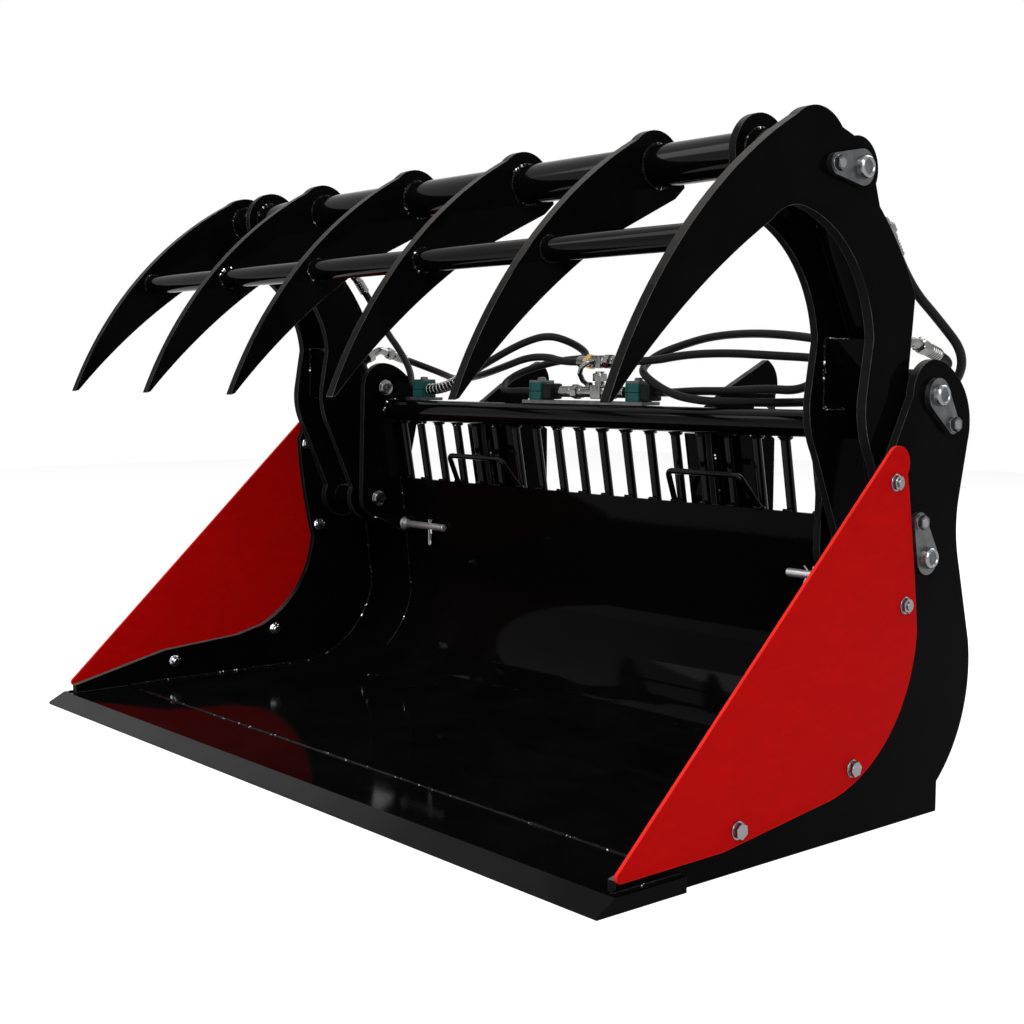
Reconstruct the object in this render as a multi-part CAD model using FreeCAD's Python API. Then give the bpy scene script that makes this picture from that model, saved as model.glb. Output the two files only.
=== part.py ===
import FreeCAD, Part
import math
import os

# Grapple bucket for a mini loader, in millimetres.
# X runs across the width, Y to the back, Z up. The front edge of the blade is the line Y = 0, Z = 0.
# Left and right are the driver's, who sits behind the bucket and looks along -Y, so left is +X.

V = FreeCAD.Vector
ALONG_X = V(1, 0, 0)
UP = V(0, 0, 1)
ORIGIN = V(0, 0, 0)
PAST = 1.0              # how far a cutting shape runs past the face it cuts

# Overall sizes
blade_width = 1500.0
blade_depth = 150.0
blade_height = 20.0
bevel_length = 30.0
bevel_nose = 4.0

# Sheet and plate thicknesses
side_thickness = 12.0
wing_thickness = 5.0
cheek_thickness = 12.0
shell_thickness = 8.0
tine_thickness = 15.0
inner_arm_thickness = 12.0
ear_thickness = 12.0
backing_thickness = 8.0

# Clearances
weld_gap = 0.2          # round part in the plate hole that it is welded into
pin_gap = 0.1           # pin in its bush, all round
bolt_gap = 0.5          # bolt in its hole, all round
seat_gap = 0.3          # hose in its clamp, and to its ferrule
blade_overhang = 13.0   # blade past each side plate
arm_to_side = 9.0       # outer arm plate to side plate, room for the nuts
arm_to_cheek = 22.0     # inner arm plate to cheek plate
arm_bay = 138.0         # cheek plate to side plate, room for an arm and its cylinder
bar_to_cheek = 14.5     # axis of the last grille bar to the cheek plate

# Places across the width
side_outer = blade_width / 2 - blade_overhang
side_inner = side_outer - side_thickness
outer_arm_far = side_inner - arm_to_side
outer_arm_near = outer_arm_far - tine_thickness
cheek_outer = side_inner - arm_bay
cheek_inner = cheek_outer - cheek_thickness
inner_arm_near = cheek_outer + arm_to_cheek
inner_arm_far = inner_arm_near + inner_arm_thickness
cylinder_middle = (inner_arm_far + outer_arm_near) / 2
tine_count = 6
tine_pitch = (outer_arm_far + outer_arm_near) / (tine_count - 1)

# Axes in the side view, as (Y, Z)
pivot = (636.0, 371.0)          # grapple hinge
anchor = (654.0, 597.0)         # foot of the cylinder
head = (498.0, 897.0)           # rod eye of the cylinder
main_axis = (410.0, 919.0)      # tube through all tines
lower_axis = (205.0, 791.0)     # thinner tube through all tines
rear_axis = (675.0, 551.0)      # tube along the top of the grille

# Tubes
main_tube_radius = 30.15
lower_tube_radius = 16.85
rear_tube_radius = 21.2
main_tube_wall = 5.0
lower_tube_wall = 3.5
rear_tube_wall = 4.0

# Bowl section, shared by the shell, the side plates and the ears
floor_top = blade_height
bend_radius = 184.0             # inner face of the curved back
bend_start = 545.0              # Y where the floor starts to bend up
bend_centre = (bend_start, floor_top + bend_radius)
back_lean = 10.0                # degrees that the back leans to the front
lean_sin = math.sin(math.radians(back_lean))
lean_cos = math.cos(math.radians(back_lean))
back_top = 412.0                # height of the back sheet between the cheeks
pocket_top = 318.0              # height of the back sheet beside the cheeks
rear_offset = 29.0              # rear edge of the side plate behind the bowl's inner face
heel_y = 685.0                  # Y where the side plate's foot turns up into its round rear edge
heel_turn = -math.degrees(math.acos((heel_y - bend_start) / (bend_radius + rear_offset)))

# Side plates, wing plates and cheek plates
lobe_radius = 50.0              # round the cylinder's foot pin, and the tines round the main tube
side_tip = (42.0, 34.0)         # upper front corner of the side plate
lug_height = 18.0               # tab of the cheek plate below the side pocket's top edge

# Grille
bar_radius = 8.0
bar_count = 20
bar_pitch = 2 * (cheek_inner - bar_to_cheek) / (bar_count - 1)
bar_lap = 40.0                  # bar behind the back sheet

# Guard hoops
hoop_middle = 295.0
hoop_feet = 188.0               # between the feet
hoop_top = 155.0                # between the upper corners
hoop_height = 54.0
hoop_lean = 36.0                # top in front of the feet
hoop_radius = 5.0
hoop_bend = 14.0

# Arms and tines
tip = (43.0, 590.0)
boss_radius = 44.0              # round the grapple hinge
head_lobe_radius = 42.0
arm_throat = (384.0, 840.0)     # where the arm's front edge leaves the tine
arm_crown = (462.0, 946.0)      # low point of the top edge between main tube and head pin
tine_crown = (370.0, 953.0)     # highest point of the tine's front curve
spacer_top = (556.0, 674.0)
spacer_foot = (596.0, 578.0)
spacer_depth = 10.0

# Pins, bushes and retaining plates
pin_radius = 12.5
pin_chamfer = 1.5
pin_proud = 8.0                 # outer end of a pin past its retaining plate
pin_tail = 10.0                 # inner end of a pin past the cheek plate
head_pin_gap = 3.0              # end faces of the head pin's middle length to the arm plates
head_pin_seat = 2.0             # ends of the head pin past the inner faces of the plates
bush_radius = 20.0
bush_near_gap = 1.0             # bush to cheek plate
bush_far_gap = 1.5              # bush to side plate
retainer_thickness = 8.0
pin_inner_end = cheek_inner - pin_tail
pin_outer_end = side_outer + retainer_thickness + pin_proud
retainer_reach = 54.0
retainer_big = 24.0
retainer_small = 14.0
pivot_retainer_turn = 110.0     # degrees from +Y to the retaining plate's tail
anchor_retainer_turn = -49.0
head_retainer_turn = 180.0
sleeve_radius = 19.0
sleeve_gap = 0.5                # sleeve to cylinder foot

# Bolts of the wing plates
bolt_radius = 6.0
hex_across = 18.0
hex_height = 8.0
thin_nut_height = 6.0
washer_radius = 12.0
washer_thickness = 2.5
wing_bolts_at = [(562.0, 479.0), (590.0, 308.0), (480.0, 97.0), (250.0, 56.0)]

# Cylinder, with places along it measured from the foot pin
barrel_radius = 30.0
bore_radius = 25.0
foot_cone_start = 16.0
foot_cone_radius = 19.0
foot_cone_end = 30.0
bore_start = 42.0
piston_start = 50.0
piston_length = 20.0
barrel_end = 274.0
gland_length = 24.0
gland_lip = 8.0
gland_chamfer = 2.0
rod_radius = 15.0
rod_point = 4.0                 # tapered end of the rod inside the piston
rod_taper = 2.0
rod_into_eye = 10.0
eye_radius = 25.0
eye_width = 50.0
port_radius = 11.0
port_root = 27.0                # from the cylinder's axis
port_top = 44.0
oil_hole_radius = 4.0
oil_hole_root = 10.0
rod_port = 238.0
foot_port = 46.0

# Bent pipes on the ports
rod_corner = 90.0               # from the cylinder's axis to the pipe's corner
rod_run_turn = -53.0            # degrees from +Y of the run after the corner
foot_corner = 80.0
foot_run_turn = -16.0
pipe_run = 30.0
pipe_radius = 8.0
pipe_bend = 20.0
pipe_nut_across = 22.0
pipe_nut_height = 14.0
ferrule_radius = 9.5
ferrule_length = 40.0

# Coupler ears
ear_middle = 290.0
hook_at = (806.0, 562.0)
hook_radius = 21.0
hook_tilt = -30.0
hook_mouth = 120.0
ear_bore_at = (800.0, 235.0)
ear_bore_radius = 12.5
ear_bore_boss = 38.0
ear_rear = 841.0
ear_root_low = 240.0            # straight part of the ear's front edge, on the back sheet
ear_root_high = 500.0
backing_width = 140.0
backing_to_tube = 2.0

# Hose lines along the rear tube, clamps and tees
hose_radius = 7.0
rod_lead_length = 53.0          # straight hose out of its ferrule
foot_lead_length = 38.0
line_y = 690.0
lower_line = 594.0
upper_line = 647.0
clamp_size = 32.0
clamp_to_cheek = 87.0           # middle of the outer clamp to the cheek plate
clamps_at = (clamp_to_cheek - cheek_inner, -130.0, 121.0)
cover_thickness = 4.0
cover_bolt_across = 13.0
cover_bolt_height = 5.0
rail_ends = (-160.0, 150.0)
rail_width = 44.0
rail_thickness = 6.0
tee_radius = 11.0
swivel_radius = 13.0
swivel_length = 13.0
stub_radius = 10.0
riser_radius = 9.0
riser_x = 24.0
lower_tee = (-75.0, 35.0, 74.0, 30.0)       # X of its right end, right stub, body, left stub
upper_tee = (-28.0, 26.0, 28.0, 25.0)

# Stop studs on the back sheet
stud_radius = 7.0
stud_length = 132.0
stud_height = 315.0
stud_stand = 0.3                # stud to back sheet


# Helpers
def point(yz, x=0.0):
    return V(x, yz[0], yz[1])


def polar(centre, radius, degrees):
    turn = math.radians(degrees)
    return (centre[0] + radius * math.cos(turn), centre[1] + radius * math.sin(turn))


def outline(start, *moves):
    """Closed wire in the plane X = 0: a pair is a line's end, a pair of pairs is an arc's middle and end."""
    edges = []
    here = point(start)
    for move in moves:
        if isinstance(move[0], tuple):
            middle, end = point(move[0]), point(move[1])
            edges.append(Part.Arc(here, middle, end).toShape())
        else:
            end = point(move)
            edges.append(Part.LineSegment(here, end).toShape())
        here = end
    if here.distanceToPoint(point(start)) > 1e-6:
        edges.append(Part.LineSegment(here, point(start)).toShape())
    return Part.Wire(edges)


def plate(wire, x0, x1):
    """Flat plate between two places across the width."""
    face = Part.Face(wire)
    face.translate(V(x0, 0, 0))
    return face.extrude(V(x1 - x0, 0, 0))


def rod(yz, radius, x0, x1):
    """Round bar along X."""
    return Part.makeCylinder(radius, x1 - x0, point(yz, x0), ALONG_X)


def ring(yz, outer, inner, x0, x1):
    return rod(yz, outer, x0, x1).cut(rod(yz, inner, x0 - PAST, x1 + PAST))


def tube(yz, radius, wall, half_length):
    return ring(yz, radius, radius - wall, -half_length, half_length)


def drilled(solid, holes, x0, x1):
    """Plate between x0 and x1 with round holes, each given as (centre, radius)."""
    for centre, radius in holes:
        solid = solid.cut(rod(centre, radius, x0 - PAST, x1 + PAST))
    return solid


def box(x0, x1, y0, y1, z0, z1):
    return Part.makeBox(x1 - x0, y1 - y0, z1 - z0, V(x0, y0, z0))


def turned(base, axis, steps):
    """Solid of revolution: steps are (distance along the axis, radius) from the first to the last face."""
    points = [V(0, 0, steps[0][0])] + [V(r, 0, s) for s, r in steps] + [V(0, 0, steps[-1][0])]
    face = Part.Face(Part.makePolygon(points + points[:1]))
    body = face.revolve(ORIGIN, UP, 360)
    body.Placement = FreeCAD.Placement(base, FreeCAD.Rotation(UP, axis))
    return body


def hexagon(base, axis, across, height):
    """Hexagon prism that stands on a point, along any axis."""
    corner = across / math.sqrt(3)
    corners = [V(*polar((0, 0), corner, 60 * k), 0) for k in range(7)]
    prism = Part.Face(Part.makePolygon(corners)).extrude(V(0, 0, height))
    prism.Placement = FreeCAD.Placement(base, FreeCAD.Rotation(UP, axis))
    return prism


def rounded(points, bends):
    """Wire of straight runs joined by tangent arcs, with one bend radius for each inner point."""
    edges = []
    here = points[0]
    for k, radius in enumerate(bends, start=1):
        corner = points[k]
        back = (points[k - 1] - corner).normalize()
        ahead = (points[k + 1] - corner).normalize()
        turn = math.pi - back.getAngle(ahead)
        reach = radius * math.tan(turn / 2)
        start = corner + back * reach
        end = corner + ahead * reach
        middle = corner + (back + ahead).normalize() * (radius / math.cos(turn / 2) - radius)
        edges.append(Part.LineSegment(here, start).toShape())
        edges.append(Part.Arc(start, middle, end).toShape())
        here = end
    edges.append(Part.LineSegment(here, points[-1]).toShape())
    return Part.Wire(edges)


def bent_bar(points, radius, bends):
    """Round bar along a rounded wire."""
    section = Part.Wire(Part.makeCircle(radius, points[0], points[1] - points[0]))
    return rounded(points, bends).makePipeShell([section], True, True)


def mirrored(shape):
    return shape.mirror(ORIGIN, ALONG_X)


# Bowl section
def back_corner(offset):
    """Top of the round bend, offset behind the bowl's inner face."""
    return polar(bend_centre, bend_radius + offset, back_lean)


def back_point(offset, height):
    """Point of the straight back above the bend, offset behind its inner face, at a height."""
    corner = back_corner(offset)
    return (corner[0] - (height - corner[1]) * lean_sin / lean_cos, height)


def bend_middle(offset, start=-90.0):
    """Middle of the round bend between a start angle and the straight back."""
    return polar(bend_centre, bend_radius + offset, (start + back_lean) / 2)


def cutting_edge():
    wire = outline(
        (0, 0),
        (blade_depth, 0),
        (blade_depth, blade_height),
        (bevel_length, blade_height),
        (0, bevel_nose),
    )
    return plate(wire, -blade_width / 2, blade_width / 2)


def bucket_shell():
    """Floor, round bend and leaning back in one sheet, cut lower in the pockets beside the cheek plates."""
    t = shell_thickness
    wire = outline(
        (blade_depth, floor_top - t),
        (bend_start, floor_top - t),
        (bend_middle(t), back_corner(t)),
        back_point(t, back_top),
        back_point(0, back_top),
        back_corner(0),
        (bend_middle(0), (bend_start, floor_top)),
        (blade_depth, floor_top),
    )
    sheet = plate(wire, -side_inner, side_inner)
    for x0, x1 in ((cheek_inner, side_inner), (-side_inner, -cheek_inner)):
        sheet = sheet.cut(box(x0, x1, bend_start, ear_rear, pocket_top, back_top + PAST))
    return sheet


def rear_edge():
    """Moves up the rear edge of side and cheek plates and round the front of the top lobe."""
    return [
        (724, 358),
        ((716, 405), (722, 460)),
        (738, 530),
        ((734, 592), (706, 625)),
        ((682, 640), (anchor[0], anchor[1] + lobe_radius)),
        (polar(anchor, lobe_radius, 135), (anchor[0] - lobe_radius, anchor[1])),
    ]


pin_holes = [(pivot, pin_radius + pin_gap), (anchor, pin_radius + pin_gap)]
wing_holes = [(place, bolt_radius + bolt_gap) for place in wing_bolts_at]


def side_plate():
    wire = outline(
        (side_tip[0], blade_height),
        (blade_depth, blade_height),
        (blade_depth, 0),
        (heel_y, 0),
        polar(bend_centre, bend_radius + rear_offset, heel_turn),
        (bend_middle(rear_offset, heel_turn), back_corner(rear_offset)),
        *rear_edge(),
        (545, 490),
        ((556, 390), (577, 285)),
        ((542, 184), (451, 108)),
        (392, 93),
        (230, 80),
        side_tip,
    )
    return drilled(plate(wire, side_inner, side_outer), pin_holes + wing_holes, side_inner, side_outer)


def wing_plate():
    far = side_outer + wing_thickness
    wire = outline(
        (45, 31),
        (225, 33),
        (430, 60),
        ((560, 128), (620, 270)),
        ((607, 375), (589, 490)),
        ((574, 528), (548, 519)),
        (44, 45),
        ((40, 37), (45, 31)),
    )
    return drilled(plate(wire, side_outer, far), wing_holes, side_outer, far)


def wing_bolt(place):
    """Hexagon bolt with its washer outside and a thin nut inside."""
    face = side_outer + wing_thickness
    under_head = face + washer_thickness
    nut_end = side_inner - thin_nut_height
    washer = ring(place, washer_radius, bolt_radius, face, under_head)
    screw = hexagon(point(place, under_head), ALONG_X, hex_across, hex_height)
    screw = screw.fuse(rod(place, bolt_radius, nut_end, under_head))
    nut = hexagon(point(place, nut_end), ALONG_X, hex_across, thin_nut_height)
    return [washer, screw, drilled(nut, [(place, bolt_radius)], nut_end, side_inner)]


def cheek_plate():
    low = pocket_top - lug_height
    nose = boss_radius - 6
    wire = outline(
        (anchor[0] - lobe_radius, anchor[1]),
        (pivot[0] - nose, pivot[1]),
        (polar(pivot, nose, -135), polar(pivot, nose, -90)),
        (698, low),
        back_point(0, low),
        back_point(0, pocket_top),
        back_point(rear_offset, pocket_top),
        *rear_edge(),
    )
    holes = pin_holes + [(rear_axis, rear_tube_radius + weld_gap)]
    return drilled(plate(wire, cheek_inner, cheek_outer), holes, cheek_inner, cheek_outer)


def grille_bars():
    """Round bars behind the back sheet's top edge, cut to fit the underside of the rear tube."""
    low = back_point(shell_thickness + bar_radius, back_top - bar_lap)
    length = (rear_axis[1] - low[1]) / lean_cos
    lean = V(0, -lean_sin, lean_cos)
    notch = rod(rear_axis, rear_tube_radius + weld_gap, -side_inner, side_inner)
    bars = []
    for k in range(bar_count):
        x = (k - (bar_count - 1) / 2) * bar_pitch
        bar = Part.makeCylinder(bar_radius, length, point(low, x), lean).cut(notch)
        bars.append(min(bar.Solids, key=lambda solid: solid.CenterOfMass.z))
    return bars


def guard_hoop():
    """Bent bar that stands on the back sheet's top edge and leans to the front."""
    foot = back_point(shell_thickness / 2, back_top)
    top = (foot[0] - hoop_lean, foot[1] + hoop_height)
    points = [
        point(foot, hoop_middle - hoop_feet / 2),
        point(top, hoop_middle - hoop_top / 2),
        point(top, hoop_middle + hoop_top / 2),
        point(foot, hoop_middle + hoop_feet / 2),
    ]
    bar = bent_bar(points, hoop_radius, [hoop_bend] * 2)
    return bar.cut(box(0, side_inner, bend_start, ear_rear, 0, back_top))


def coupler_backing():
    """Doubler plate behind the bars that carries an ear."""
    near = shell_thickness + 2 * bar_radius
    far = near + backing_thickness
    low = back_top - bar_lap
    high = rear_axis[1] - rear_tube_radius - backing_to_tube
    wire = outline(back_point(near, low), back_point(far, low), back_point(far, high), back_point(near, high))
    return plate(wire, ear_middle - backing_width / 2, ear_middle + backing_width / 2)


def coupler_ear():
    """Ear with an open hook for the loader's cross bar and a bore for its locking pin."""
    x0, x1 = ear_middle - ear_thickness / 2, ear_middle + ear_thickness / 2
    root = shell_thickness / 2
    wire = outline(
        polar(bend_centre, bend_radius + root, -5),
        polar(ear_bore_at, ear_bore_boss, -90),
        (polar(ear_bore_at, ear_bore_boss, -45), polar(ear_bore_at, ear_bore_boss, 0)),
        (ear_rear, 300),
        (ear_rear, 590),
        ((840, 632), (820, 650)),
        (728, 606),
        polar(rear_axis, rear_tube_radius - PAST, 90),
        back_point(root, ear_root_high),
        back_point(root, ear_root_low),
    )
    ear = plate(wire, x0, x1).cut(bucket_shell()).cut(coupler_backing())
    holes = [(rear_axis, rear_tube_radius + weld_gap), (ear_bore_at, ear_bore_radius), (hook_at, hook_radius)]
    mouth = box(x0 - PAST, x1 + PAST, 0, hook_mouth, -hook_radius, hook_radius)
    mouth.rotate(ORIGIN, ALONG_X, hook_tilt)
    mouth.translate(point(hook_at))
    ear = drilled(ear, holes, x0, x1).cut(mouth)
    return max(ear.Solids, key=lambda solid: solid.Volume)


# Arms and tines
def tine_underside():
    """Moves from the tip back along the lower edge of a tine."""
    return [(50, 592), ((163, 702), (325, 818))]


def tine_front():
    """Moves from the top of a tine down its front curve to the tip."""
    return [tine_crown, ((168, 792), tip)]


def arm_front():
    """Moves from the throat down the front edge of an arm and round its boss."""
    return [
        ((490, 783), (540, 672)),
        (528, 602),
        ((527, 560), (543, 515)),
        polar(pivot, boss_radius, 152),
        (polar(pivot, boss_radius, -90), polar(pivot, boss_radius, 15)),
    ]


def arm_rear():
    """Moves from the boss up the rear edge of an arm and round the head pin's lobe."""
    return [
        (621, 628),
        (632, 734),
        ((604, 782), (546, 850)),
        polar(head, head_lobe_radius, -25),
        (polar(head, head_lobe_radius, 40), polar(head, head_lobe_radius, 105)),
        arm_crown,
    ]


arm_holes = [(head, pin_radius + pin_gap), (pivot, bush_radius + weld_gap)]
tine_holes = [(main_axis, main_tube_radius + weld_gap), (lower_axis, lower_tube_radius + weld_gap)]


def arm_outer():
    """Outermost tine in one plate with its arm; the cross tubes butt against its inner face."""
    crown = polar(main_axis, lobe_radius, 80)
    wire = outline(
        tip,
        *tine_underside(),
        ((354, 836), arm_throat),
        *arm_front(),
        *arm_rear(),
        (crown, tine_crown),
        *tine_front()[1:],
    )
    return drilled(plate(wire, outer_arm_near, outer_arm_far), arm_holes, outer_arm_near, outer_arm_far)


def arm_inner():
    front = polar(main_axis, lobe_radius, 200)
    wire = outline(front, arm_throat, *arm_front(), *arm_rear(), (polar(main_axis, lobe_radius, 110), front))
    holes = arm_holes + tine_holes[:1]
    return drilled(plate(wire, inner_arm_near, inner_arm_far), holes, inner_arm_near, inner_arm_far)


def tine(middle):
    x0, x1 = middle - tine_thickness / 2, middle + tine_thickness / 2
    wire = outline(
        tip,
        *tine_underside(),
        (447, 876),
        (466, 893),
        polar(main_axis, lobe_radius, 15),
        (polar(main_axis, lobe_radius, 75), tine_crown),
        *tine_front()[1:],
    )
    return drilled(plate(wire, x0, x1), tine_holes, x0, x1)


def arm_spacer():
    """Slanting plate between the two plates of an arm, behind their front edge."""
    wire = outline(
        spacer_top,
        (spacer_top[0] + spacer_depth, spacer_top[1]),
        (spacer_foot[0] + spacer_depth, spacer_foot[1]),
        spacer_foot,
    )
    return plate(wire, inner_arm_far, outer_arm_near)


# Pins
def pin(centre, x0, x1):
    """Round pin with chamfered ends."""
    length = x1 - x0
    steps = [(0, pin_radius - pin_chamfer), (pin_chamfer, pin_radius)]
    steps += [(length - pin_chamfer, pin_radius), (length, pin_radius - pin_chamfer)]
    return turned(point(centre, x0), ALONG_X, steps)


def pivot_bush():
    near, far = cheek_outer + bush_near_gap, side_inner - bush_far_gap
    return ring(pivot, bush_radius, pin_radius + pin_gap, near, far)


def anchor_sleeves():
    """Distance sleeves on the foot pin, each side of the cylinder's foot."""
    reach = eye_width / 2 + sleeve_gap
    spans = ((cheek_outer, cylinder_middle - reach), (cylinder_middle + reach, side_inner))
    return [ring(anchor, sleeve_radius, pin_radius + pin_gap, near, far) for near, far in spans]


def head_pin_ends():
    """The two ends of the head pin that the arm plates hold."""
    outer = pin(head, outer_arm_near - head_pin_seat, outer_arm_far + retainer_thickness + pin_proud)
    inner = pin(head, inner_arm_near - pin_proud, inner_arm_far + head_pin_seat)
    return [outer, inner]


def head_pin_middle():
    """Length of the head pin that turns in the rod eye."""
    return pin(head, inner_arm_far + head_pin_gap, outer_arm_near - head_pin_gap)


def retainer(centre, degrees, face):
    """Drop-shaped plate on a pin's outer end, held by one bolt."""
    tail = polar(centre, retainer_reach, degrees)
    spread = math.degrees(math.acos((retainer_big - retainer_small) / retainer_reach))
    wire = outline(
        polar(centre, retainer_big, degrees + spread),
        (polar(centre, retainer_big, degrees + 180), polar(centre, retainer_big, degrees - spread)),
        polar(tail, retainer_small, degrees - spread),
        (polar(tail, retainer_small, degrees), polar(tail, retainer_small, degrees + spread)),
    )
    outer = face + retainer_thickness
    solid = drilled(plate(wire, face, outer), [(centre, pin_radius + pin_gap)], face, outer)
    return [solid, hexagon(point(tail, outer), ALONG_X, hex_across, hex_height)]


def stop_stud():
    """Round stud in front of the back sheet, from the cheek plate inwards."""
    at = back_point(0, stud_height)
    return rod((at[0] - stud_radius - stud_stand, at[1]), stud_radius, cheek_inner - stud_length, cheek_inner)


# Hydraulic cylinder, from its foot pin to its rod eye
closed_length = math.hypot(head[0] - anchor[0], head[1] - anchor[1])
along = ((head[0] - anchor[0]) / closed_length, (head[1] - anchor[1]) / closed_length)
across = (along[1], -along[0])


def on_cylinder(s, r=0.0):
    """(Y, Z) at a distance along the cylinder and out from its axis to the rear."""
    return (anchor[0] + s * along[0] + r * across[0], anchor[1] + s * along[1] + r * across[1])


def along_cylinder(steps):
    return turned(point(anchor, cylinder_middle), V(0, *along), steps)


def straight(start, end, radius):
    """Round bar along the cylinder's axis."""
    return along_cylinder([(start, radius), (end, radius)])


def square_on(s, radius, r0, r1):
    """Round boss or hole that stands square on the cylinder, towards the rear."""
    return Part.makeCylinder(radius, r1 - r0, point(on_cylinder(s, r0), cylinder_middle), V(0, *across))


def eye(centre, radius, width):
    return rod(centre, radius, cylinder_middle - width / 2, cylinder_middle + width / 2)


def eye_bore(centre):
    return eye(centre, pin_radius + pin_gap, eye_width + 2 * PAST)


def barrel():
    """Barrel closed at the foot, with its eye and two drilled ports."""
    body = along_cylinder([
        (foot_cone_start, foot_cone_radius),
        (foot_cone_end, barrel_radius),
        (barrel_end, barrel_radius),
    ])
    body = body.fuse(eye(anchor, eye_radius, eye_width))
    for place in (foot_port, rod_port):
        body = body.fuse(square_on(place, port_radius, port_root, port_top))
    body = body.cut(straight(bore_start, barrel_end + PAST, bore_radius))
    for place in (foot_port, rod_port):
        body = body.cut(square_on(place, oil_hole_radius, oil_hole_root, port_top + PAST))
    return body.cut(eye_bore(anchor)).removeSplitter()


def gland():
    """Screwed guide of the rod in the barrel's mouth."""
    start, end = barrel_end - gland_length, barrel_end + gland_lip
    body = along_cylinder([
        (start, bore_radius - weld_gap),
        (barrel_end, bore_radius - weld_gap),
        (barrel_end, barrel_radius - gland_chamfer),
        (end, barrel_radius - 2 * gland_chamfer),
    ])
    return body.cut(straight(start - PAST, end + PAST, rod_radius + pin_gap))


def cylinder_rod():
    body = along_cylinder([
        (piston_start - rod_point, rod_radius - rod_taper),
        (piston_start, rod_radius),
        (closed_length - rod_into_eye, rod_radius),
    ])
    return body.fuse(eye(head, eye_radius, eye_width)).cut(eye_bore(head)).removeSplitter()


def piston():
    end = piston_start + piston_length
    return straight(piston_start, end, bore_radius - pin_gap).cut(
        straight(piston_start - PAST, end + PAST, rod_radius))


def pipe_end(port, corner_out, turn, run):
    """(Y, Z) at a distance past the corner of the bent pipe on a port."""
    return polar(on_cylinder(port, corner_out), run, turn)


def port_fittings():
    """Bent steel pipes with their nuts, one for each port, and the crimped ends of the hoses."""
    solids = []
    ports = ((rod_port, rod_corner, rod_run_turn), (foot_port, foot_corner, foot_run_turn))
    for port, corner_out, turn in ports:
        start = point(on_cylinder(port, port_top), cylinder_middle)
        corner = point(on_cylinder(port, corner_out), cylinder_middle)
        end = point(pipe_end(port, corner_out, turn, pipe_run), cylinder_middle)
        pipe = bent_bar([start, corner, end], pipe_radius, [pipe_bend])
        nut = hexagon(start, V(0, *across), pipe_nut_across, pipe_nut_height)
        solids.append(pipe.fuse(nut).removeSplitter())
        solids.append(Part.makeCylinder(ferrule_radius, ferrule_length, end, end - corner))
    return solids


# Hoses
def hose(points):
    """Round hose along chosen points: straight runs joined by wide tangent arcs."""
    path = [V(*p) for p in points]
    radii = []
    for before, corner, after in zip(path, path[1:], path[2:]):
        back = before - corner
        ahead = after - corner
        turn = math.pi - back.getAngle(ahead)
        radii.append(0.45 * min(back.Length, ahead.Length) / math.tan(turn / 2))
    return bent_bar(path, hose_radius, radii)


ferrule_end = pipe_run + ferrule_length
rod_start = pipe_end(rod_port, rod_corner, rod_run_turn, ferrule_end + seat_gap)
rod_lead = pipe_end(rod_port, rod_corner, rod_run_turn, ferrule_end + rod_lead_length)
foot_start = pipe_end(foot_port, foot_corner, foot_run_turn, ferrule_end + seat_gap)
foot_lead = pipe_end(foot_port, foot_corner, foot_run_turn, ferrule_end + foot_lead_length)

hose_routes = {
    "hose_left_rod": [
        (cylinder_middle, *rod_start), (cylinder_middle, *rod_lead), (670, 757, 706), (681, 812, 655),
        (640, 848, 606), (590, 842, 588), (530, 805, 586), (465, 755, 583), (405, 712, 580.5),
        (345, 682, 581.5), (285, 668, 582), (215, 670, 592), (139, 684, 622), (108, 711, 638),
        (108, 749, 660), (139, 776, 676), (205, 778, 690), (290, 774, 694), (375, 768, 690),
        (461, 762, 680), (490, 744, 657), (490, 720, 623), (461, 702, 600), (395, 702, 603),
        (320, 697, 598), (250, 692, 598), (190, line_y, lower_line), (90, line_y, lower_line),
    ],
    "hose_left_foot": [
        (cylinder_middle, *foot_start), (cylinder_middle, *foot_lead), (622, 834, 630), (562, 834, 626),
        (500, 812, 638), (430, 788, 652), (360, 765, 656), (280, 734, 661), (210, 706, 658),
        (150, line_y, upper_line), (77, line_y, upper_line),
    ],
    "hose_right_rod": [
        (-cylinder_middle, *rod_start), (-cylinder_middle, *rod_lead), (-646, 714, 708), (-610, 717, 676),
        (-562, 712, 630), (-532, line_y, lower_line), (-430, line_y, lower_line), (-350, 690, 622),
        (-268, 693, 656), (-190, 696, 684), (-130, 704, 697), (-100, 732, 685), (-100, 772, 667),
        (-130, 800, 655), (-185, 792, 652), (-240, 775, 640), (-268, 750, 626), (-268, 715, 607),
        (-240, 692, 591), (-180, line_y, lower_line), (-75, line_y, lower_line),
    ],
    "hose_right_foot": [
        (-cylinder_middle, *foot_start), (-cylinder_middle, *foot_lead), (-622, 834, 628), (-560, 826, 614),
        (-480, 780, 616), (-400, 742, 618), (-330, 722, 626), (-262, 714, 640), (-190, 706, 656),
        (-120, 696, 657), (-72, line_y, upper_line), (-28, line_y, upper_line),
    ],
}


def tee_line(height, right_end, right_stub, body, left_stub):
    """Run of a tee along X with a swivel nut and a stub at each end."""
    places = [0]
    for length in (right_stub, swivel_length, body, swivel_length, left_stub):
        places.append(places[-1] + length)
    steps = []
    radii = (stub_radius, swivel_radius, tee_radius, swivel_radius, stub_radius)
    for radius, start, end in zip(radii, places, places[1:]):
        steps += [(start, radius), (end, radius)]
    return turned(V(right_end, line_y, height), ALONG_X, steps)


def tee_fittings():
    """Lower and upper tee, joined by a short riser."""
    upper = tee_line(upper_line, *upper_tee)
    riser = Part.makeCylinder(riser_radius, upper_line - lower_line, V(riser_x, line_y, lower_line), UP)
    return [tee_line(lower_line, *lower_tee).fuse(riser.cut(upper)).removeSplitter(), upper]


rail_low = rear_axis[1] + rear_tube_radius
rail_high = rail_low + rail_thickness


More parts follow.
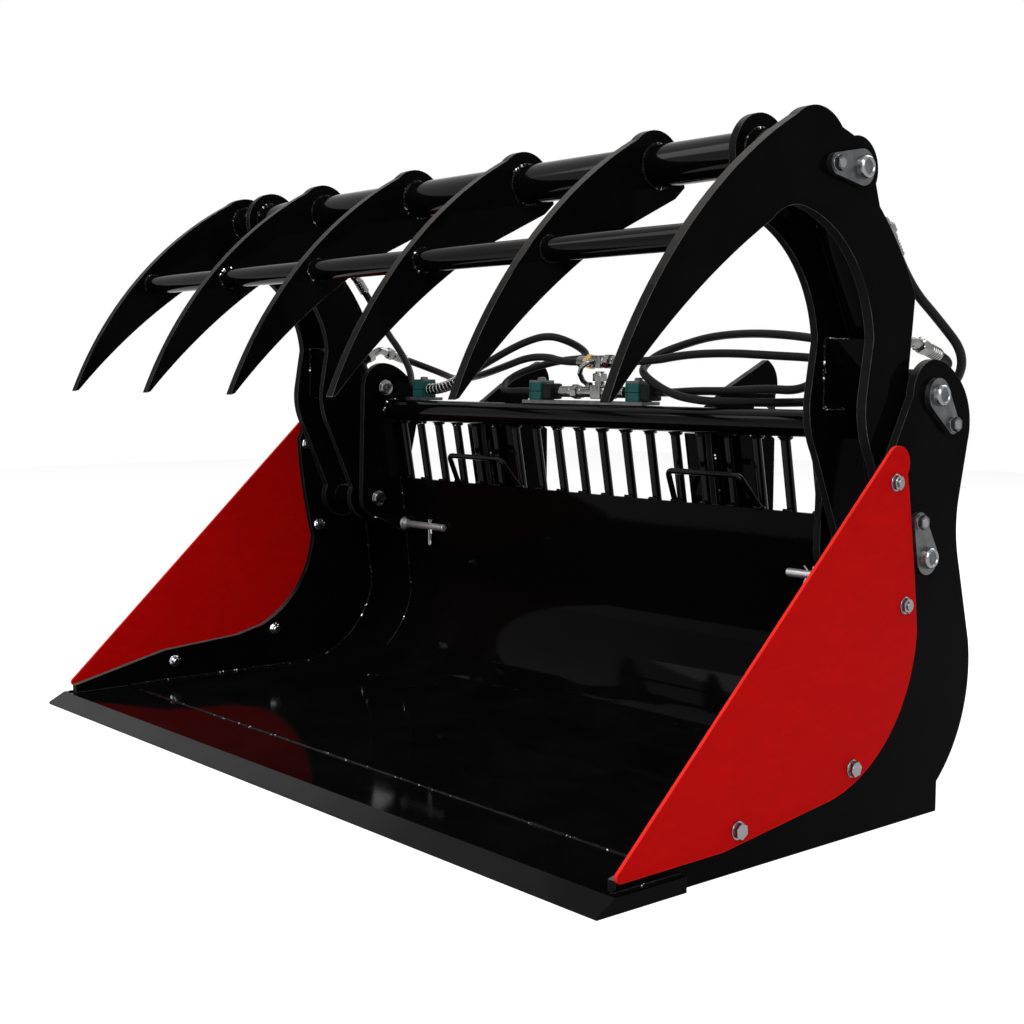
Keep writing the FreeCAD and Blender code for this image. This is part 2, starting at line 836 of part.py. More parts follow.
def clamp_rail():
    """Flat bar on the rear tube under two clamps, and a short one under the third."""
    y0, y1 = line_y - rail_width / 2, line_y + rail_width / 2
    spans = (rail_ends, (clamps_at[0] - clamp_size, clamps_at[0] + clamp_size))
    return [box(x0, x1, y0, y1, rail_low, rail_high) for x0, x1 in spans]


def over_clamp(x, z0, z1):
    half = clamp_size / 2
    return box(x - half, x + half, line_y - half, line_y + half, z0, z1)


cover_low = lower_line + clamp_size / 2
cover_high = cover_low + cover_thickness


def hose_clamps():
    bore = rod((line_y, lower_line), hose_radius + seat_gap, -side_inner, side_inner)
    return [over_clamp(x, rail_high, cover_low).cut(bore) for x in clamps_at]


def clamp_covers():
    solids = []
    for x in clamps_at:
        solids.append(over_clamp(x, cover_low, cover_high))
        solids.append(hexagon(V(x, line_y, cover_high), UP, cover_bolt_across, cover_bolt_height))
    return solids


# Output
def save(name, *solids):
    """One file for one node, with all its solids."""
    result = Part.makeCompound(solids) if len(solids) > 1 else solids[0]
    if not result.isValid():
        print("not valid:", name)
    result.exportStep("parts/" + name + ".step")
    print(f"{name:28s} solids {len(result.Solids):3d}  volume {result.Volume / 1000:10.1f} cm3")


def save_pair(name, *solids):
    """Left piece and its mirror image on the right, each in a node of its own."""
    save(name + "_left", *solids)
    save(name + "_right", *[mirrored(solid) for solid in solids])


def save_both(name, *solids):
    """Left piece or pieces with their mirror images, in one node."""
    save(name, *solids, *[mirrored(solid) for solid in solids])


def main():
    os.makedirs("parts", exist_ok=True)
    save("cutting_edge", cutting_edge())
    save("bucket_shell", bucket_shell())
    save_pair("side_plate", side_plate())
    save_pair("wing_plate", wing_plate())
    save_both("wing_bolts", *[solid for place in wing_bolts_at for solid in wing_bolt(place)])
    save_pair("cheek_plate", cheek_plate())
    save("rear_tube", tube(rear_axis, rear_tube_radius, rear_tube_wall, side_inner))
    save("grille_bars", *grille_bars())
    save_both("guard_hoops", guard_hoop())
    save_both("coupler_backings", coupler_backing())
    save_pair("coupler_ear", coupler_ear())
    save_both("stop_studs", stop_stud())
    save_pair("arm_outer", arm_outer())
    save_pair("arm_inner", arm_inner())
    for k in range(1, tine_count - 1):
        save("tine_%d" % (k + 1), tine((k - (tine_count - 1) / 2) * tine_pitch))
    save("main_tube", tube(main_axis, main_tube_radius, main_tube_wall, outer_arm_near))
    save("lower_tube", tube(lower_axis, lower_tube_radius, lower_tube_wall, outer_arm_near))
    save_both("arm_spacers", arm_spacer())
    save_pair("pivot_bush", pivot_bush())
    save_pair("pivot_pin", pin(pivot, pin_inner_end, pin_outer_end))
    save_pair("anchor_pin", pin(anchor, pin_inner_end, pin_outer_end))
    save_both("anchor_sleeves", *anchor_sleeves())
    pivot_retainer = retainer(pivot, pivot_retainer_turn, side_outer)
    save_both("pin_retainers", *pivot_retainer, *retainer(anchor, anchor_retainer_turn, side_outer))
    save_pair("head_pin_ends", *head_pin_ends())
    save_both("head_retainers", *retainer(head, head_retainer_turn, outer_arm_far))
    save_pair("head_pin", head_pin_middle())
    save_pair("barrel", barrel())
    save_pair("gland", gland())
    save_pair("piston_rod", cylinder_rod(), piston())
    save_pair("port_fittings", *port_fittings())
    save("clamp_rail", *clamp_rail())
    save("hose_clamps", *hose_clamps())
    save("clamp_covers", *clamp_covers())
    save("tee_fittings", *tee_fittings())
    for name, points in hose_routes.items():
        save(name, hose(points))


main()
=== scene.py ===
import math
import random

import bmesh
import bpy
from bpy.props import FloatProperty, FloatVectorProperty, IntProperty, PointerProperty
from bpy.types import NodeSocket, Operator, Panel, PropertyGroup
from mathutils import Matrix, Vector


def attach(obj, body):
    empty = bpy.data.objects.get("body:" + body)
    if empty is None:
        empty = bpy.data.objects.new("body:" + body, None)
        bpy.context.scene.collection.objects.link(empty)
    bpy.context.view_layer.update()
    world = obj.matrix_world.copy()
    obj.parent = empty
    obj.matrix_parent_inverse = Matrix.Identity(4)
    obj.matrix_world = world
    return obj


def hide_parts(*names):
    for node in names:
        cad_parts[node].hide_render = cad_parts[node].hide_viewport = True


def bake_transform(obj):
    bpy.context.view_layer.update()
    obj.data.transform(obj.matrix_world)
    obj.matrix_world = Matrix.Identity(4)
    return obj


bl_info = {
    "name": "Grapple bucket finish",
    "version": (1, 0, 0),
    "blender": (4, 5, 0),
    "location": "3D View > Sidebar > Grapple bucket",
    "description": "Dresses the frame of a grapple bucket with paint, welds, hoses and fasteners",
    "category": "Object",
}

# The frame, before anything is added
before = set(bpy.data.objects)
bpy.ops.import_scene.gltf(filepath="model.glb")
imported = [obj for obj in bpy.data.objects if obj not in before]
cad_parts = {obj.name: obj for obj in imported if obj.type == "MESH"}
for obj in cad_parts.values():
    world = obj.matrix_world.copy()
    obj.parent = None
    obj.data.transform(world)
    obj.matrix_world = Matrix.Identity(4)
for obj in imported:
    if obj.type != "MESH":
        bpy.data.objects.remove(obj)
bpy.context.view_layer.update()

MM = 0.001
SIGNS = (1, -1)

# Places of the frame, in millimetres: X across the width, Y to the back, Z up
SIDE_IN, SIDE_OUT, SIDE_FRONT, WING_OUT = 725.0, 737.0, 34.0, 742.0
CHEEK_IN, CHEEK_OUT, CHEEK_FOOT = 575.0, 587.0, 62.0
ARM_IN, ARM_IN_FAR, ARM_OUT, ARM_OUT_FAR = 609.0, 621.0, 701.0, 716.0
SPACER = ((556.0, 578.0), (606.0, 674.0))
TINE_PLACES, TINE_HALF = (-425.1, -141.7, 141.7, 425.1), 7.5
MAIN_TUBE, MAIN_RADIUS = (410.0, 919.0), 30.15
LOWER_TUBE, LOWER_RADIUS = (205.0, 791.0), 16.85
REAR_TUBE, REAR_RADIUS = (675.0, 551.0), 21.2
PIVOT, ANCHOR, HEAD = (636.0, 371.0), (654.0, 597.0), (498.0, 897.0)
BLADE_BACK, FLOOR_TOP = 150.0, 20.0
FLOOR_FRONT, BEND_CENTRE, BEND_RADIUS, BEND_TURN, BEND_STEPS = 155.0, (545.0, 204.0), 184.0, 80, 20
SHELL, BACK_FOOT, BACK_SLOPE, BACK_ACROSS = 8.0, (726.2, 236.0), 0.1763, 1.0154
BACK_TOP, POCKET_TOP = 412.0, 318.0
BAR_PITCH, BAR_COUNT, BAR_FOOT, BAR_HEAD = 59.0, 20, (718.3, 370.6), (690.3, 546.2)
HOOPS, HOOP_FEET = (-295.0, 295.0), 94.0
BACKING_X, BACKING_FOOT = (220.0, 360.0), 372.0
EAR_FACES, EAR_ROOT = (284.0, 296.0), (240.0, 500.0)
WING_BOLTS, NUTS_OUTSIDE = ((562.0, 479.0), (590.0, 308.0), (480.0, 97.0), (250.0, 56.0)), 2
STUD_PLACE, STUD_END, STUD_NUT, STUD_WASHER = (705.0, 315.0), 443.0, 572.8, 574.8
CLAMP_PLACES, CLAMP_HALF = (-488.0, -130.0, 121.0), 16.0
LINE_Y, LOWER_LINE, UPPER_LINE, RISER_X = 690.0, 594.0, 647.0, 24.0
RETAINERS = (  # body, face of the plate, pin, tail bolt
    ("bucket", 745.0, PIVOT, (617.5, 421.7)),
    ("bucket", 745.0, ANCHOR, (689.4, 556.2)),
    ("grapple", 724.0, HEAD, (444.0, 897.0)),
)

# Cylinders: their place across, their directions, and heights along them from the foot pin
CYLINDER_X, CYLINDER_ALONG, CYLINDER_ACROSS = 661.0, (-0.46135, 0.88722), (0.88722, 0.46135)
BARREL_RADIUS, ROD_RADIUS, EYE_HALF = 30.0, 15.0, 25.3
PORT_HEIGHTS, PORT_OUT, PORT_RING = (46.0, 238.0), 29.0, 12.0
BARREL_SEAMS, WIPER_HEIGHT = ((26.0, 26.0), (268.0, BARREL_RADIUS)), 281.5
EYE_WELD, EYE_NECK = 25.0, 34.0
FERRULES = (((666.2, 793.8), (0.6018, -0.7987)), ((771.1, 655.4), (0.9613, -0.2756)))
FERRULE_LENGTH, HOSE_NUT_ACROSS = 40.0, 22.0

# Weld beads: rings in a ripple, its depth, how the hand wanders, and the width of both ends
RIPPLE_RINGS, RIPPLE_DEPTH, HAND_WANDER, HAND_RETURN, BEAD_END, BEAD_SIDES = 3, 0.2, 0.09, 0.15, 0.6, 6
# Angles in degrees above which an edge stays sharp: on bolts and pins, on turned and sawn parts, on round ones
BOLT_SHARP, PART_SHARP, ROUND_SHARP = 30.0, 35.0, 60.0

# Hoses: the body that the far end rides on, the length in metres, where bending starts and ends,
# and the control points in millimetres
HOSE_DIAMETER = 14.0
HOSES = {
    "hose_left_rod": {
        "cylinder": "cylinder_left", "length": 1.77,
        "bend": ((560, 800, 620), (661, 680, 780)),
        "route": (
            (661, 666.36, 793.54), (661, 698.07, 751.45), (670, 757, 706), (681, 812, 655),
            (640, 848, 606), (590, 842, 588), (530, 805, 586), (465, 755, 583), (405, 712, 580.5),
            (345, 682, 581.5), (285, 668, 582), (215, 670, 592), (139, 684, 622), (108, 711, 638),
            (108, 749, 660), (139, 776, 676), (205, 778, 690), (290, 774, 694), (375, 768, 690),
            (461, 762, 680), (490, 744, 657), (490, 720, 623), (461, 702, 600), (395, 702, 603),
            (320, 697, 598), (250, 692, 598), (190, 690, 594), (90, 690, 594),
        ),
    },
    "hose_left_foot": {
        "cylinder": "cylinder_left", "length": 0.655,
        "bend": ((562, 834, 626), (661, 771, 655)),
        "route": (
            (661, 771.34, 655.34), (661, 807.58, 644.95), (622, 834, 630), (562, 834, 626),
            (500, 812, 638), (430, 788, 652), (360, 765, 656), (280, 734, 661), (210, 706, 658),
            (150, 690, 647), (77, 690, 647),
        ),
    },
    "hose_right_rod": {
        "cylinder": "cylinder_right", "length": 1.195,
        "bend": ((-562, 720, 630), (-661, 680, 780)),
        "route": (
            (-661, 666.36, 793.54), (-661, 698.07, 751.45), (-646, 714, 708), (-610, 717, 676),
            (-562, 712, 630), (-532, 690, 594), (-430, 690, 594), (-350, 690, 622), (-268, 693, 656),
            (-190, 696, 684), (-130, 704, 697), (-100, 732, 685), (-100, 772, 667), (-130, 800, 655),
            (-185, 792, 652), (-240, 775, 640), (-268, 750, 626), (-268, 715, 607), (-240, 692, 591),
            (-180, 690, 594), (-75, 690, 594),
        ),
    },
    "hose_right_foot": {
        "cylinder": "cylinder_right", "length": 0.71,
        "bend": ((-330, 722, 626), (-661, 771, 655)),
        "route": (
            (-661, 771.34, 655.34), (-661, 807.58, 644.95), (-622, 834, 628), (-560, 826, 614),
            (-480, 780, 616), (-400, 742, 618), (-330, 722, 626), (-262, 714, 640), (-190, 706, 656),
            (-120, 696, 657), (-72, 690, 647), (-28, 690, 647),
        ),
    },
}
# Spring guard on one hose: the hose, its stretch in X, the height it lies below, and the spring's sizes
GUARDED, GUARD_X, GUARD_BELOW = "hose_right_rod", (-474.0, -362.0), 630.0
GUARD_RADIUS, GUARD_WIRE, GUARD_PITCH, TURN_STEPS = 10.0, 1.6, 11.0, 14

# Lamps: place, point that it looks at, size, and share of the lamp power
LAMPS = {
    "lamp_front": ((5.4, -3.6, 4.4), (0, 0.4, 0.4), (4.6, 4.6), 1.0),
    "lamp_far": ((-2.6, -3.6, 4.4), (0, 0.4, 0.5), (3.6, 3.6), 0.35),
    "lamp_back": ((0.2, 4.0, 3.8), (0, 0.4, 0.5), (3.2, 3.2), 0.35),
    "lamp_strip": ((0.6, -1.6, 3.6), (0, 0.4, 0.6), (4.2, 0.3), 0.2),
}
FLOOR_SIZE, FLOOR_DROP, FLOOR_PALE, FLOOR_SHADED, FLOOR_GLOW = 8.0, 0.0006, 0.8, 0.42, 0.8


# Settings

def colour_setting(name, description, default):
    return FloatVectorProperty(name=name, description=description, subtype="COLOR", size=3,
                               min=0, max=1, default=default)


def length_setting(name, description, default, low, high):
    return FloatProperty(name=name, description=description, unit="LENGTH", min=low, max=high, default=default)


class BucketPaint(PropertyGroup):
    """Colours and gloss of the bucket's finishes"""

    black: colour_setting("Black paint", "Colour of the frame's gloss paint", (0.0013, 0.0013, 0.0015))
    # Paler than the black paint: partly the cut edges' own finish, partly painted light for the light that the
    # narrow edges catch
    edge: colour_setting("Cut edge", "Colour of paint over the plates' narrow edges", (0.0042, 0.0041, 0.004))
    red: colour_setting("Red paint", "Colour of the wing plates", (0.33, 0.0018, 0.0015))
    # Painted highlight: the wing plates' narrow edges in a paler red, standing in for the light that they catch
    red_edge_highlight: colour_setting("Red edge", "Colour of the wing plates' worn rim", (0.46, 0.008, 0.006))
    zinc: colour_setting("Zinc", "Colour of plated bolts, pins and clips", (0.34, 0.35, 0.37))
    steel: colour_setting("Fitting steel", "Colour of the hydraulic fittings", (0.21, 0.21, 0.206))
    brass: colour_setting("Brass", "Colour of the yellow passivated nut", (0.55, 0.33, 0.08))
    chrome: colour_setting("Hard chrome", "Colour of the piston rods", (0.72, 0.72, 0.73))
    rubber: colour_setting("Rubber", "Colour of the hoses' cover", (0.0052, 0.0052, 0.0056))
    plastic: colour_setting("Clamp plastic", "Colour of the hose clamps", (0.0015, 0.045, 0.042))
    gloss: FloatProperty(
        name="Paint roughness", description="Roughness of clean gloss paint on the plates",
        subtype="FACTOR", min=0, max=1, default=0.06)


class BucketDetail(PropertyGroup):
    """Sizes of the small parts that are added to the frame"""

    weld: length_setting("Weld leg", "Half width of the widest weld beads", 0.0042, 0.001, 0.01)
    ripple: length_setting("Ripple pitch", "Distance between a bead's ripples", 0.0046, 0.001, 0.02)
    bolt_across: length_setting("Bolt across flats", "Size of the wing plates' bolts", 0.019, 0.008, 0.03)
    clip_wire: length_setting("Clip wire", "Diameter of the spring clips' wire", 0.003, 0.001, 0.005)
    hose_sides: IntProperty(
        name="Hose sides", description="Faces round a hose", min=8, max=48, default=20)


class BucketStage(PropertyGroup):
    """Camera, light and floor"""

    camera_place: FloatVectorProperty(
        name="Camera place", description="Where the camera stands",
        subtype="TRANSLATION", unit="LENGTH", size=3, default=(1.97649, -1.17367, 0.61982))
    camera_turn: FloatVectorProperty(
        name="Camera turn", description="Rotation of the camera",
        subtype="EULER", unit="ROTATION", size=3,
        default=(math.radians(84.93), math.radians(-0.26), math.radians(49.62)))
    lens: FloatProperty(
        name="Lens", description="Focal length of the camera, in millimetres",
        min=20, max=200, default=53.55)
    sky: FloatProperty(
        name="Sky light", description="Strength of the plain light from all round",
        min=0, max=2, default=0.28)
    lamp: FloatProperty(
        name="Lamp power", description="Power of the large soft lamp",
        unit="POWER", min=0, max=2000, default=400)


# Shapes

def metres(x, y, z):
    """A point in metres, from millimetres."""
    return Vector((x, y, z)) * MM


def add_object(name, data):
    made = bpy.data.objects.new(name, data)
    bpy.context.scene.collection.objects.link(made)
    return made


def piece(name, bm, finish, body=None, sharp=PART_SHARP):
    """Makes a shaded object of a mesh, gives it a finish and hangs it on a body."""
    mesh = bpy.data.meshes.new(name)
    bmesh.ops.recalc_face_normals(bm, faces=bm.faces)
    bm.to_mesh(mesh)
    bm.free()
    mesh.polygons.foreach_set("use_smooth", [True] * len(mesh.polygons))
    mesh.set_sharp_from_angle(angle=math.radians(sharp))
    made = add_object(name, mesh)
    mesh.materials.append(bpy.data.materials[finish])
    if body:
        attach(made, body)
    return made


def weld_piece(name, bm, body="bucket"):
    piece(name, bm, "Weld paint", body, ROUND_SHARP)


def around(count, start=0.0, turn=2 * math.pi):
    """Evenly spaced angles, the last one a step short of the turn."""
    return [start + turn * k / count for k in range(count)]


def frames_along(points, closed=False):
    """Two directions square to a line at each of its points, without twist."""
    count = len(points)
    result = []
    normal = None
    for i, here in enumerate(points):
        before = points[(i - 1) % count] if closed or i else here
        after = points[(i + 1) % count] if closed or i < count - 1 else here
        ahead = (after - before).normalized()
        if normal is None:
            normal = ahead.orthogonal().normalized()
        normal = (normal - ahead * normal.dot(ahead)).normalized()
        result.append((normal.copy(), ahead.cross(normal)))
    return result


def skin(bm, rings, closed=False):
    """Faces from ring to ring, with a cap at both ends or joined into a loop."""
    for one, two in zip(rings, rings[1:] + rings[:1] if closed else rings[1:]):
        for k in range(len(one)):
            n = (k + 1) % len(one)
            bm.faces.new((one[k], one[n], two[n], two[k]))
    if not closed:
        bm.faces.new(rings[0])
        bm.faces.new(rings[-1])


def sweep(bm, points, radius, round_sides=8, closed=False):
    """A tube along points in metres. Radius is a number, or one for each point."""
    rings = []
    for i, (here, (a, b)) in enumerate(zip(points, frames_along(points, closed))):
        r = radius if isinstance(radius, float) else radius[i]
        rings.append([bm.verts.new(here + (a * math.cos(t) + b * math.sin(t)) * r) for t in around(round_sides)])
    skin(bm, rings, closed)


def spaced(points, step):
    """Points at an even step along a line of straight runs."""
    result = [points[0].copy()]
    for start, end in zip(points, points[1:]):
        count = max(1, round((end - start).length / step))
        result += [start.lerp(end, (k + 1) / count) for k in range(count)]
    return result


def bead(bm, points, seed, size=None, closed=False):
    """A weld bead with ripples along a line in metres."""
    detail = bpy.context.scene.bucket_detail
    size = size or detail.weld
    dice = random.Random(seed)
    line = spaced(points + points[:1] if closed else points, detail.ripple / RIPPLE_RINGS)
    if closed:
        line = line[:-1]
    radii = []
    wander = 0.0
    for i in range(len(line)):
        phase = (i % RIPPLE_RINGS) / RIPPLE_RINGS
        wander += (dice.uniform(-HAND_WANDER, HAND_WANDER) - wander * HAND_RETURN)
        radii.append(size * (1 - RIPPLE_DEPTH + RIPPLE_DEPTH * math.sqrt(1 - phase * phase) + wander))
    if not closed:
        radii[0] *= BEAD_END
        radii[-1] *= BEAD_END
    sweep(bm, line, radii, BEAD_SIDES, closed)


def seam(bm, places, seed, size, closed=False):
    """A weld bead along places in millimetres."""
    bead(bm, [metres(*place) for place in places], seed, size, closed)


def ring_points(middle, radius, x, count=40):
    """Points round an axis along X, in metres."""
    return [metres(x, middle[0] + radius * math.cos(a), middle[1] + radius * math.sin(a)) for a in around(count)]


def ring_bead(bm, middle, radius, x, seed, size=None):
    bead(bm, ring_points(middle, radius, x), seed, size, closed=True)


def axes_of(axis):
    """An axis as a unit vector, and two directions square to it."""
    axis = Vector(axis).normalized()
    a = axis.orthogonal().normalized()
    return axis, a, axis.cross(a)


def ring_about(middle, axis, radius, count=20):
    """Points round any axis, in metres, from a middle in millimetres."""
    _, a, b = axes_of(axis)
    return [(Vector(middle) + (a * math.cos(t) + b * math.sin(t)) * radius) * MM for t in around(count)]


def back_face(offset, height):
    """Y of the straight back at a height, offset behind its inner face."""
    return BACK_FOOT[0] + offset * BACK_ACROSS - (height - BACK_FOOT[1]) * BACK_SLOPE


def lathe(bm, base, axis, rows, segments=48, across=0.0, phase=0.0):
    """Turns rows of (height, radius) round an axis. A row whose radius is negative is a hexagon's,
    cut to that radius at its corners. The measures are millimetres."""
    axis, a, b = axes_of(axis)
    if abs(axis.x) > 0.9:
        a = Vector((0, 1, 0))
        b = axis.cross(a)
    base = Vector(base)
    rings = []
    for height, radius in rows:
        ring = []
        for t in around(segments):
            r = radius
            if radius < 0:
                turned = (t - phase + math.pi / 6) % (math.pi / 3) - math.pi / 6
                r = min(-radius, across / 2 / math.cos(turned))
            ring.append(bm.verts.new((base + axis * height + (a * math.cos(t) + b * math.sin(t)) * r) * MM))
        rings.append(ring)
    skin(bm, rings)


def hexagon(bm, base, axis, across, height, phase=0.0, foot=0.0, chamfer=1.0):
    """A hexagon on a base, with broken corners at its foot and chamfered ones at its top."""
    corner = across / math.sqrt(3)
    rows = ((foot, 0.2 - corner), (foot + 0.3, -corner), (height - chamfer, -corner), (height, -across / 2 * 0.96))
    lathe(bm, base, axis, rows, across=across, phase=phase)


def box(bm, low, high, bevel):
    """A block between two corners in millimetres, with its edges broken."""
    low, high = metres(*low), metres(*high)
    corners = bmesh.ops.create_cube(bm, size=1.0)["verts"]
    for v in corners:
        v.co = v.co * (high - low) + (low + high) / 2
    edges = dict.fromkeys(e for v in corners for e in v.link_edges)
    bmesh.ops.bevel(bm, geom=list(edges), offset=bevel * MM, segments=2, affect="EDGES", profile=0.6)


# Finishes

def feed(socket, value):
    """Sets a socket's value, or joins another socket to it."""
    if isinstance(value, NodeSocket):
        socket.id_data.links.new(value, socket)
    elif socket.type == "RGBA":
        socket.default_value = (*value, 1.0)
    else:
        socket.default_value = value


def feed_named(made, values):
    """Feeds a node's inputs by their names, with _ for a space."""
    for key, value in values.items():
        feed(made.inputs[key.replace("_", " ")], value)


def node(tree, kind, *inputs, out=0, **values):
    """Adds a shader node and gives one of its outputs. Inputs come in order, or by name as
    capitalised words. Words in small letters are the node's properties."""
    made = tree.nodes.new("ShaderNode" + kind)
    for key in [key for key in values if key.islower()]:
        setattr(made, key, values.pop(key))
    feed_named(made, values)
    for socket, value in zip(made.inputs, inputs):
        feed(socket, value)
    return made.outputs[out]


def product(tree, one, two):
    return node(tree, "Math", one, two, operation="MULTIPLY")


def inverse(tree, size):
    """The scale of a texture whose pattern has a size."""
    return node(tree, "Math", 1.0, size, operation="DIVIDE")


def object_place(tree):
    return node(tree, "TexCoord", out="Object")


def direction(tree, kind, letter):
    """One part of the surface's direction."""
    return node(tree, "SeparateXYZ", node(tree, "NewGeometry", out=kind), out=letter)


def mixed(tree, kind, factor, one, two):
    """Mixes two numbers or two colours, each a value or a socket."""
    first, out = {"FLOAT": (2, 0), "RGBA": (6, 2)}[kind]
    mix = tree.nodes.new("ShaderNodeMix")
    mix.data_type = kind
    for place, value in ((0, factor), (first, one), (first + 1, two)):
        feed(mix.inputs[place], value)
    return mix.outputs[out]


def colour_mix(tree, factor, one, two):
    return mixed(tree, "RGBA", factor, one, two)


def number_mix(tree, factor, one, two):
    return mixed(tree, "FLOAT", factor, one, two)


def times(colour, factor, more=0.0):
    """A colour made lighter or darker, no part of it above 1."""
    return tuple(min(1, c * factor + more) for c in colour)


def bump(tree, shader, height, distance, strength, below=None):
    """Gives the shader a relief, on top of the one below."""
    relief = node(tree, "Bump", Height=height, Distance=distance, Strength=strength)
    if below:
        feed(relief.node.inputs["Normal"], below)
    feed(shader.inputs["Normal"], relief)
    return relief


def group_tree(name, inputs, outputs):
    """A shader node group with named sockets: its tree, what it is given and what it puts out."""
    tree = bpy.data.node_groups.new(name, "ShaderNodeTree")
    for title, default, low, high in inputs:
        socket = tree.interface.new_socket(title, in_out="INPUT", socket_type="NodeSocketFloat")
        socket.default_value, socket.min_value, socket.max_value = default, low, high
    for title in outputs:
        tree.interface.new_socket(title, in_out="OUTPUT", socket_type="NodeSocketFloat")
    return tree, tree.nodes.new("NodeGroupInput").outputs, tree.nodes.new("NodeGroupOutput").inputs


def orange_peel():
    """Orange peel of sprayed paint, with larger waves below it."""
    tree, given, out = group_tree(
        "Orange peel", [("Size", 0.004, 0.0005, 0.1), ("Waves", 0.3, 0, 1)], ["Height"])
    place = object_place(tree)
    fine = node(tree, "TexNoise", place, Scale=inverse(tree, given["Size"]), Detail=2.0)
    broad = node(tree, "TexNoise", place, Scale=14.0, Detail=1.0)
    feed(out["Height"], number_mix(tree, given["Waves"], fine, broad))


def cut_edge():
    """Narrow edges of plates that lie square to X, the fine lines that cutting leaves on them, and a mask of the
    edges that face up, for a painted highlight.
    """
    tree, given, out = group_tree(
        "Cut edge", [("Line pitch", 0.0016, 0.0002, 0.02), ("Line depth", 0.5, 0, 1)],
        ["Mask", "Lines", "Top highlight"])
    upward, sideways = (direction(tree, "True Normal", letter) for letter in "ZX")
    # Painted highlight: how much an edge faces up, so that its top is painted paler as if lit from above
    feed(out["Top highlight"], node(tree, "MapRange", upward, From_Min=0.55, From_Max=1.0, To_Max=0.8))
    sideways = node(tree, "Math", sideways, operation="ABSOLUTE")
    mask = node(tree, "MapRange", sideways, From_Min=0.35, From_Max=0.75, To_Min=1.0, To_Max=0.0)
    feed(out["Mask"], mask)
    stretched = node(tree, "Mapping", object_place(tree), Scale=(0.03, 1.0, 1.0))
    lines = node(tree, "TexNoise", stretched, Scale=inverse(tree, given["Line pitch"]), Detail=3.0, Roughness=0.6)
    feed(out["Lines"], product(tree, product(tree, lines, given["Line depth"]), mask))


def corner_highlights_and_wear():
    """Corners painted paler as a highlight, partly also where paint is thin: found where a rounded normal leaves
    the true one.
    """
    tree, given, out = group_tree("Corner highlights and wear", [("Radius", 0.0012, 0.0001, 0.01)], ["Mask"])
    rounded = node(tree, "Bevel", samples=6, Radius=given["Radius"])
    along = node(tree, "VectorMath", rounded, node(tree, "NewGeometry", out="Normal"),
                 operation="DOT_PRODUCT", out="Value")
    near = node(tree, "MapRange", along, From_Min=0.995, From_Max=0.9)
    broken = node(tree, "TexNoise", object_place(tree), Scale=26.0, Detail=4.0)
    # Painted highlight: the corners' mask, broken into patches by noise
    feed(out["Mask"], product(tree, near, node(tree, "MapRange", broken, From_Min=0.3, From_Max=0.62)))


def dust_and_smears():
    """Dust that settles on faces that look up, in patches, and wiped smears everywhere."""
    tree, given, out = group_tree(
        "Dust and smears", [("Dust", 0.3, 0, 1), ("Smears", 0.4, 0, 1), ("Patch size", 0.15, 0.005, 2)],
        ["Dust", "Smears"])
    place, scale = object_place(tree), inverse(tree, given["Patch size"])
    up = node(tree, "MapRange", direction(tree, "Normal", "Z"), From_Min=-0.1, From_Max=1.0, To_Min=0.15)
    patches = node(tree, "TexNoise", place, Scale=scale, Detail=6.0, Roughness=0.65, Distortion=0.4)
    patches = node(tree, "MapRange", patches, From_Min=0.42, From_Max=0.72)
    feed(out["Dust"], product(tree, product(tree, patches, up), given["Dust"]))
    wiped = node(tree, "Mapping", place, Scale=(1.0, 2.6, 7.0), Rotation=(0.5, 0.2, 0.7))
    smears = node(tree, "TexNoise", wiped, Scale=scale, Detail=4.0, Roughness=0.55, Distortion=1.2)
    smears = node(tree, "MapRange", smears, From_Min=0.45, From_Max=0.75)
    feed(out["Smears"], product(tree, smears, given["Smears"]))


def grouped(tree, name, **values):
    """Places a node group with values of its own, and gives its outputs."""
    made = tree.nodes.new("ShaderNodeGroup")
    made.node_tree = bpy.data.node_groups[name]
    feed_named(made, values)
    return made.outputs


def new_finish(name):
    """A new material: its node tree and its shader."""
    material = bpy.data.materials.new(name)
    material.use_nodes = True
    return material.node_tree, material.node_tree.nodes["Principled BSDF"]


def paint_finish(name, colour, roughness, ior, edge=None, highlight_and_wear=None, peel=0.0045, dust=0.2, smear=0.14):
    """Sprayed gloss paint with orange peel, smears and a film of dust. Plates also get paler cut edges, partly
    painted light, and painted highlights on the edges' upward tops and on their corners.
    """
    tree, shader = new_finish(name)
    film = grouped(tree, "Dust and smears", Dust=dust)
    peel = grouped(tree, "Orange peel", Size=peel)
    rough = number_mix(tree, film["Smears"], roughness, roughness + smear)
    rough = number_mix(tree, film["Dust"], rough, 0.6)
    shade = colour_mix(tree, film["Smears"], colour, times(colour, 1.35))
    lines = None
    if edge:
        cut, corners = grouped(tree, "Cut edge"), grouped(tree, "Corner highlights and wear")
        pale = colour_mix(tree, cut["Lines"], edge, times(edge, 3))
        # Painted highlight: upward-facing edges and the corners are painted in the pale colour given for highlight
        # and wear
        pale = colour_mix(tree, cut["Top highlight"], pale, highlight_and_wear)
        # The narrow edges are painted paler than the faces, partly their own cut finish and partly painted light
        shade = colour_mix(tree, cut["Mask"], shade, pale)
        shade = colour_mix(tree, corners["Mask"], shade, highlight_and_wear)
        rough = number_mix(tree, cut["Mask"], rough, 0.4)
        lines = bump(tree, shader, cut["Lines"], distance=0.0006, strength=0.6)
    dusty = colour_mix(tree, film["Dust"], shade, (0.03, 0.029, 0.028))
    feed_named(shader, {"Base Color": dusty, "Roughness": rough, "IOR": ior})
    bump(tree, shader, peel["Height"], distance=0.00012, strength=0.4, below=lines)


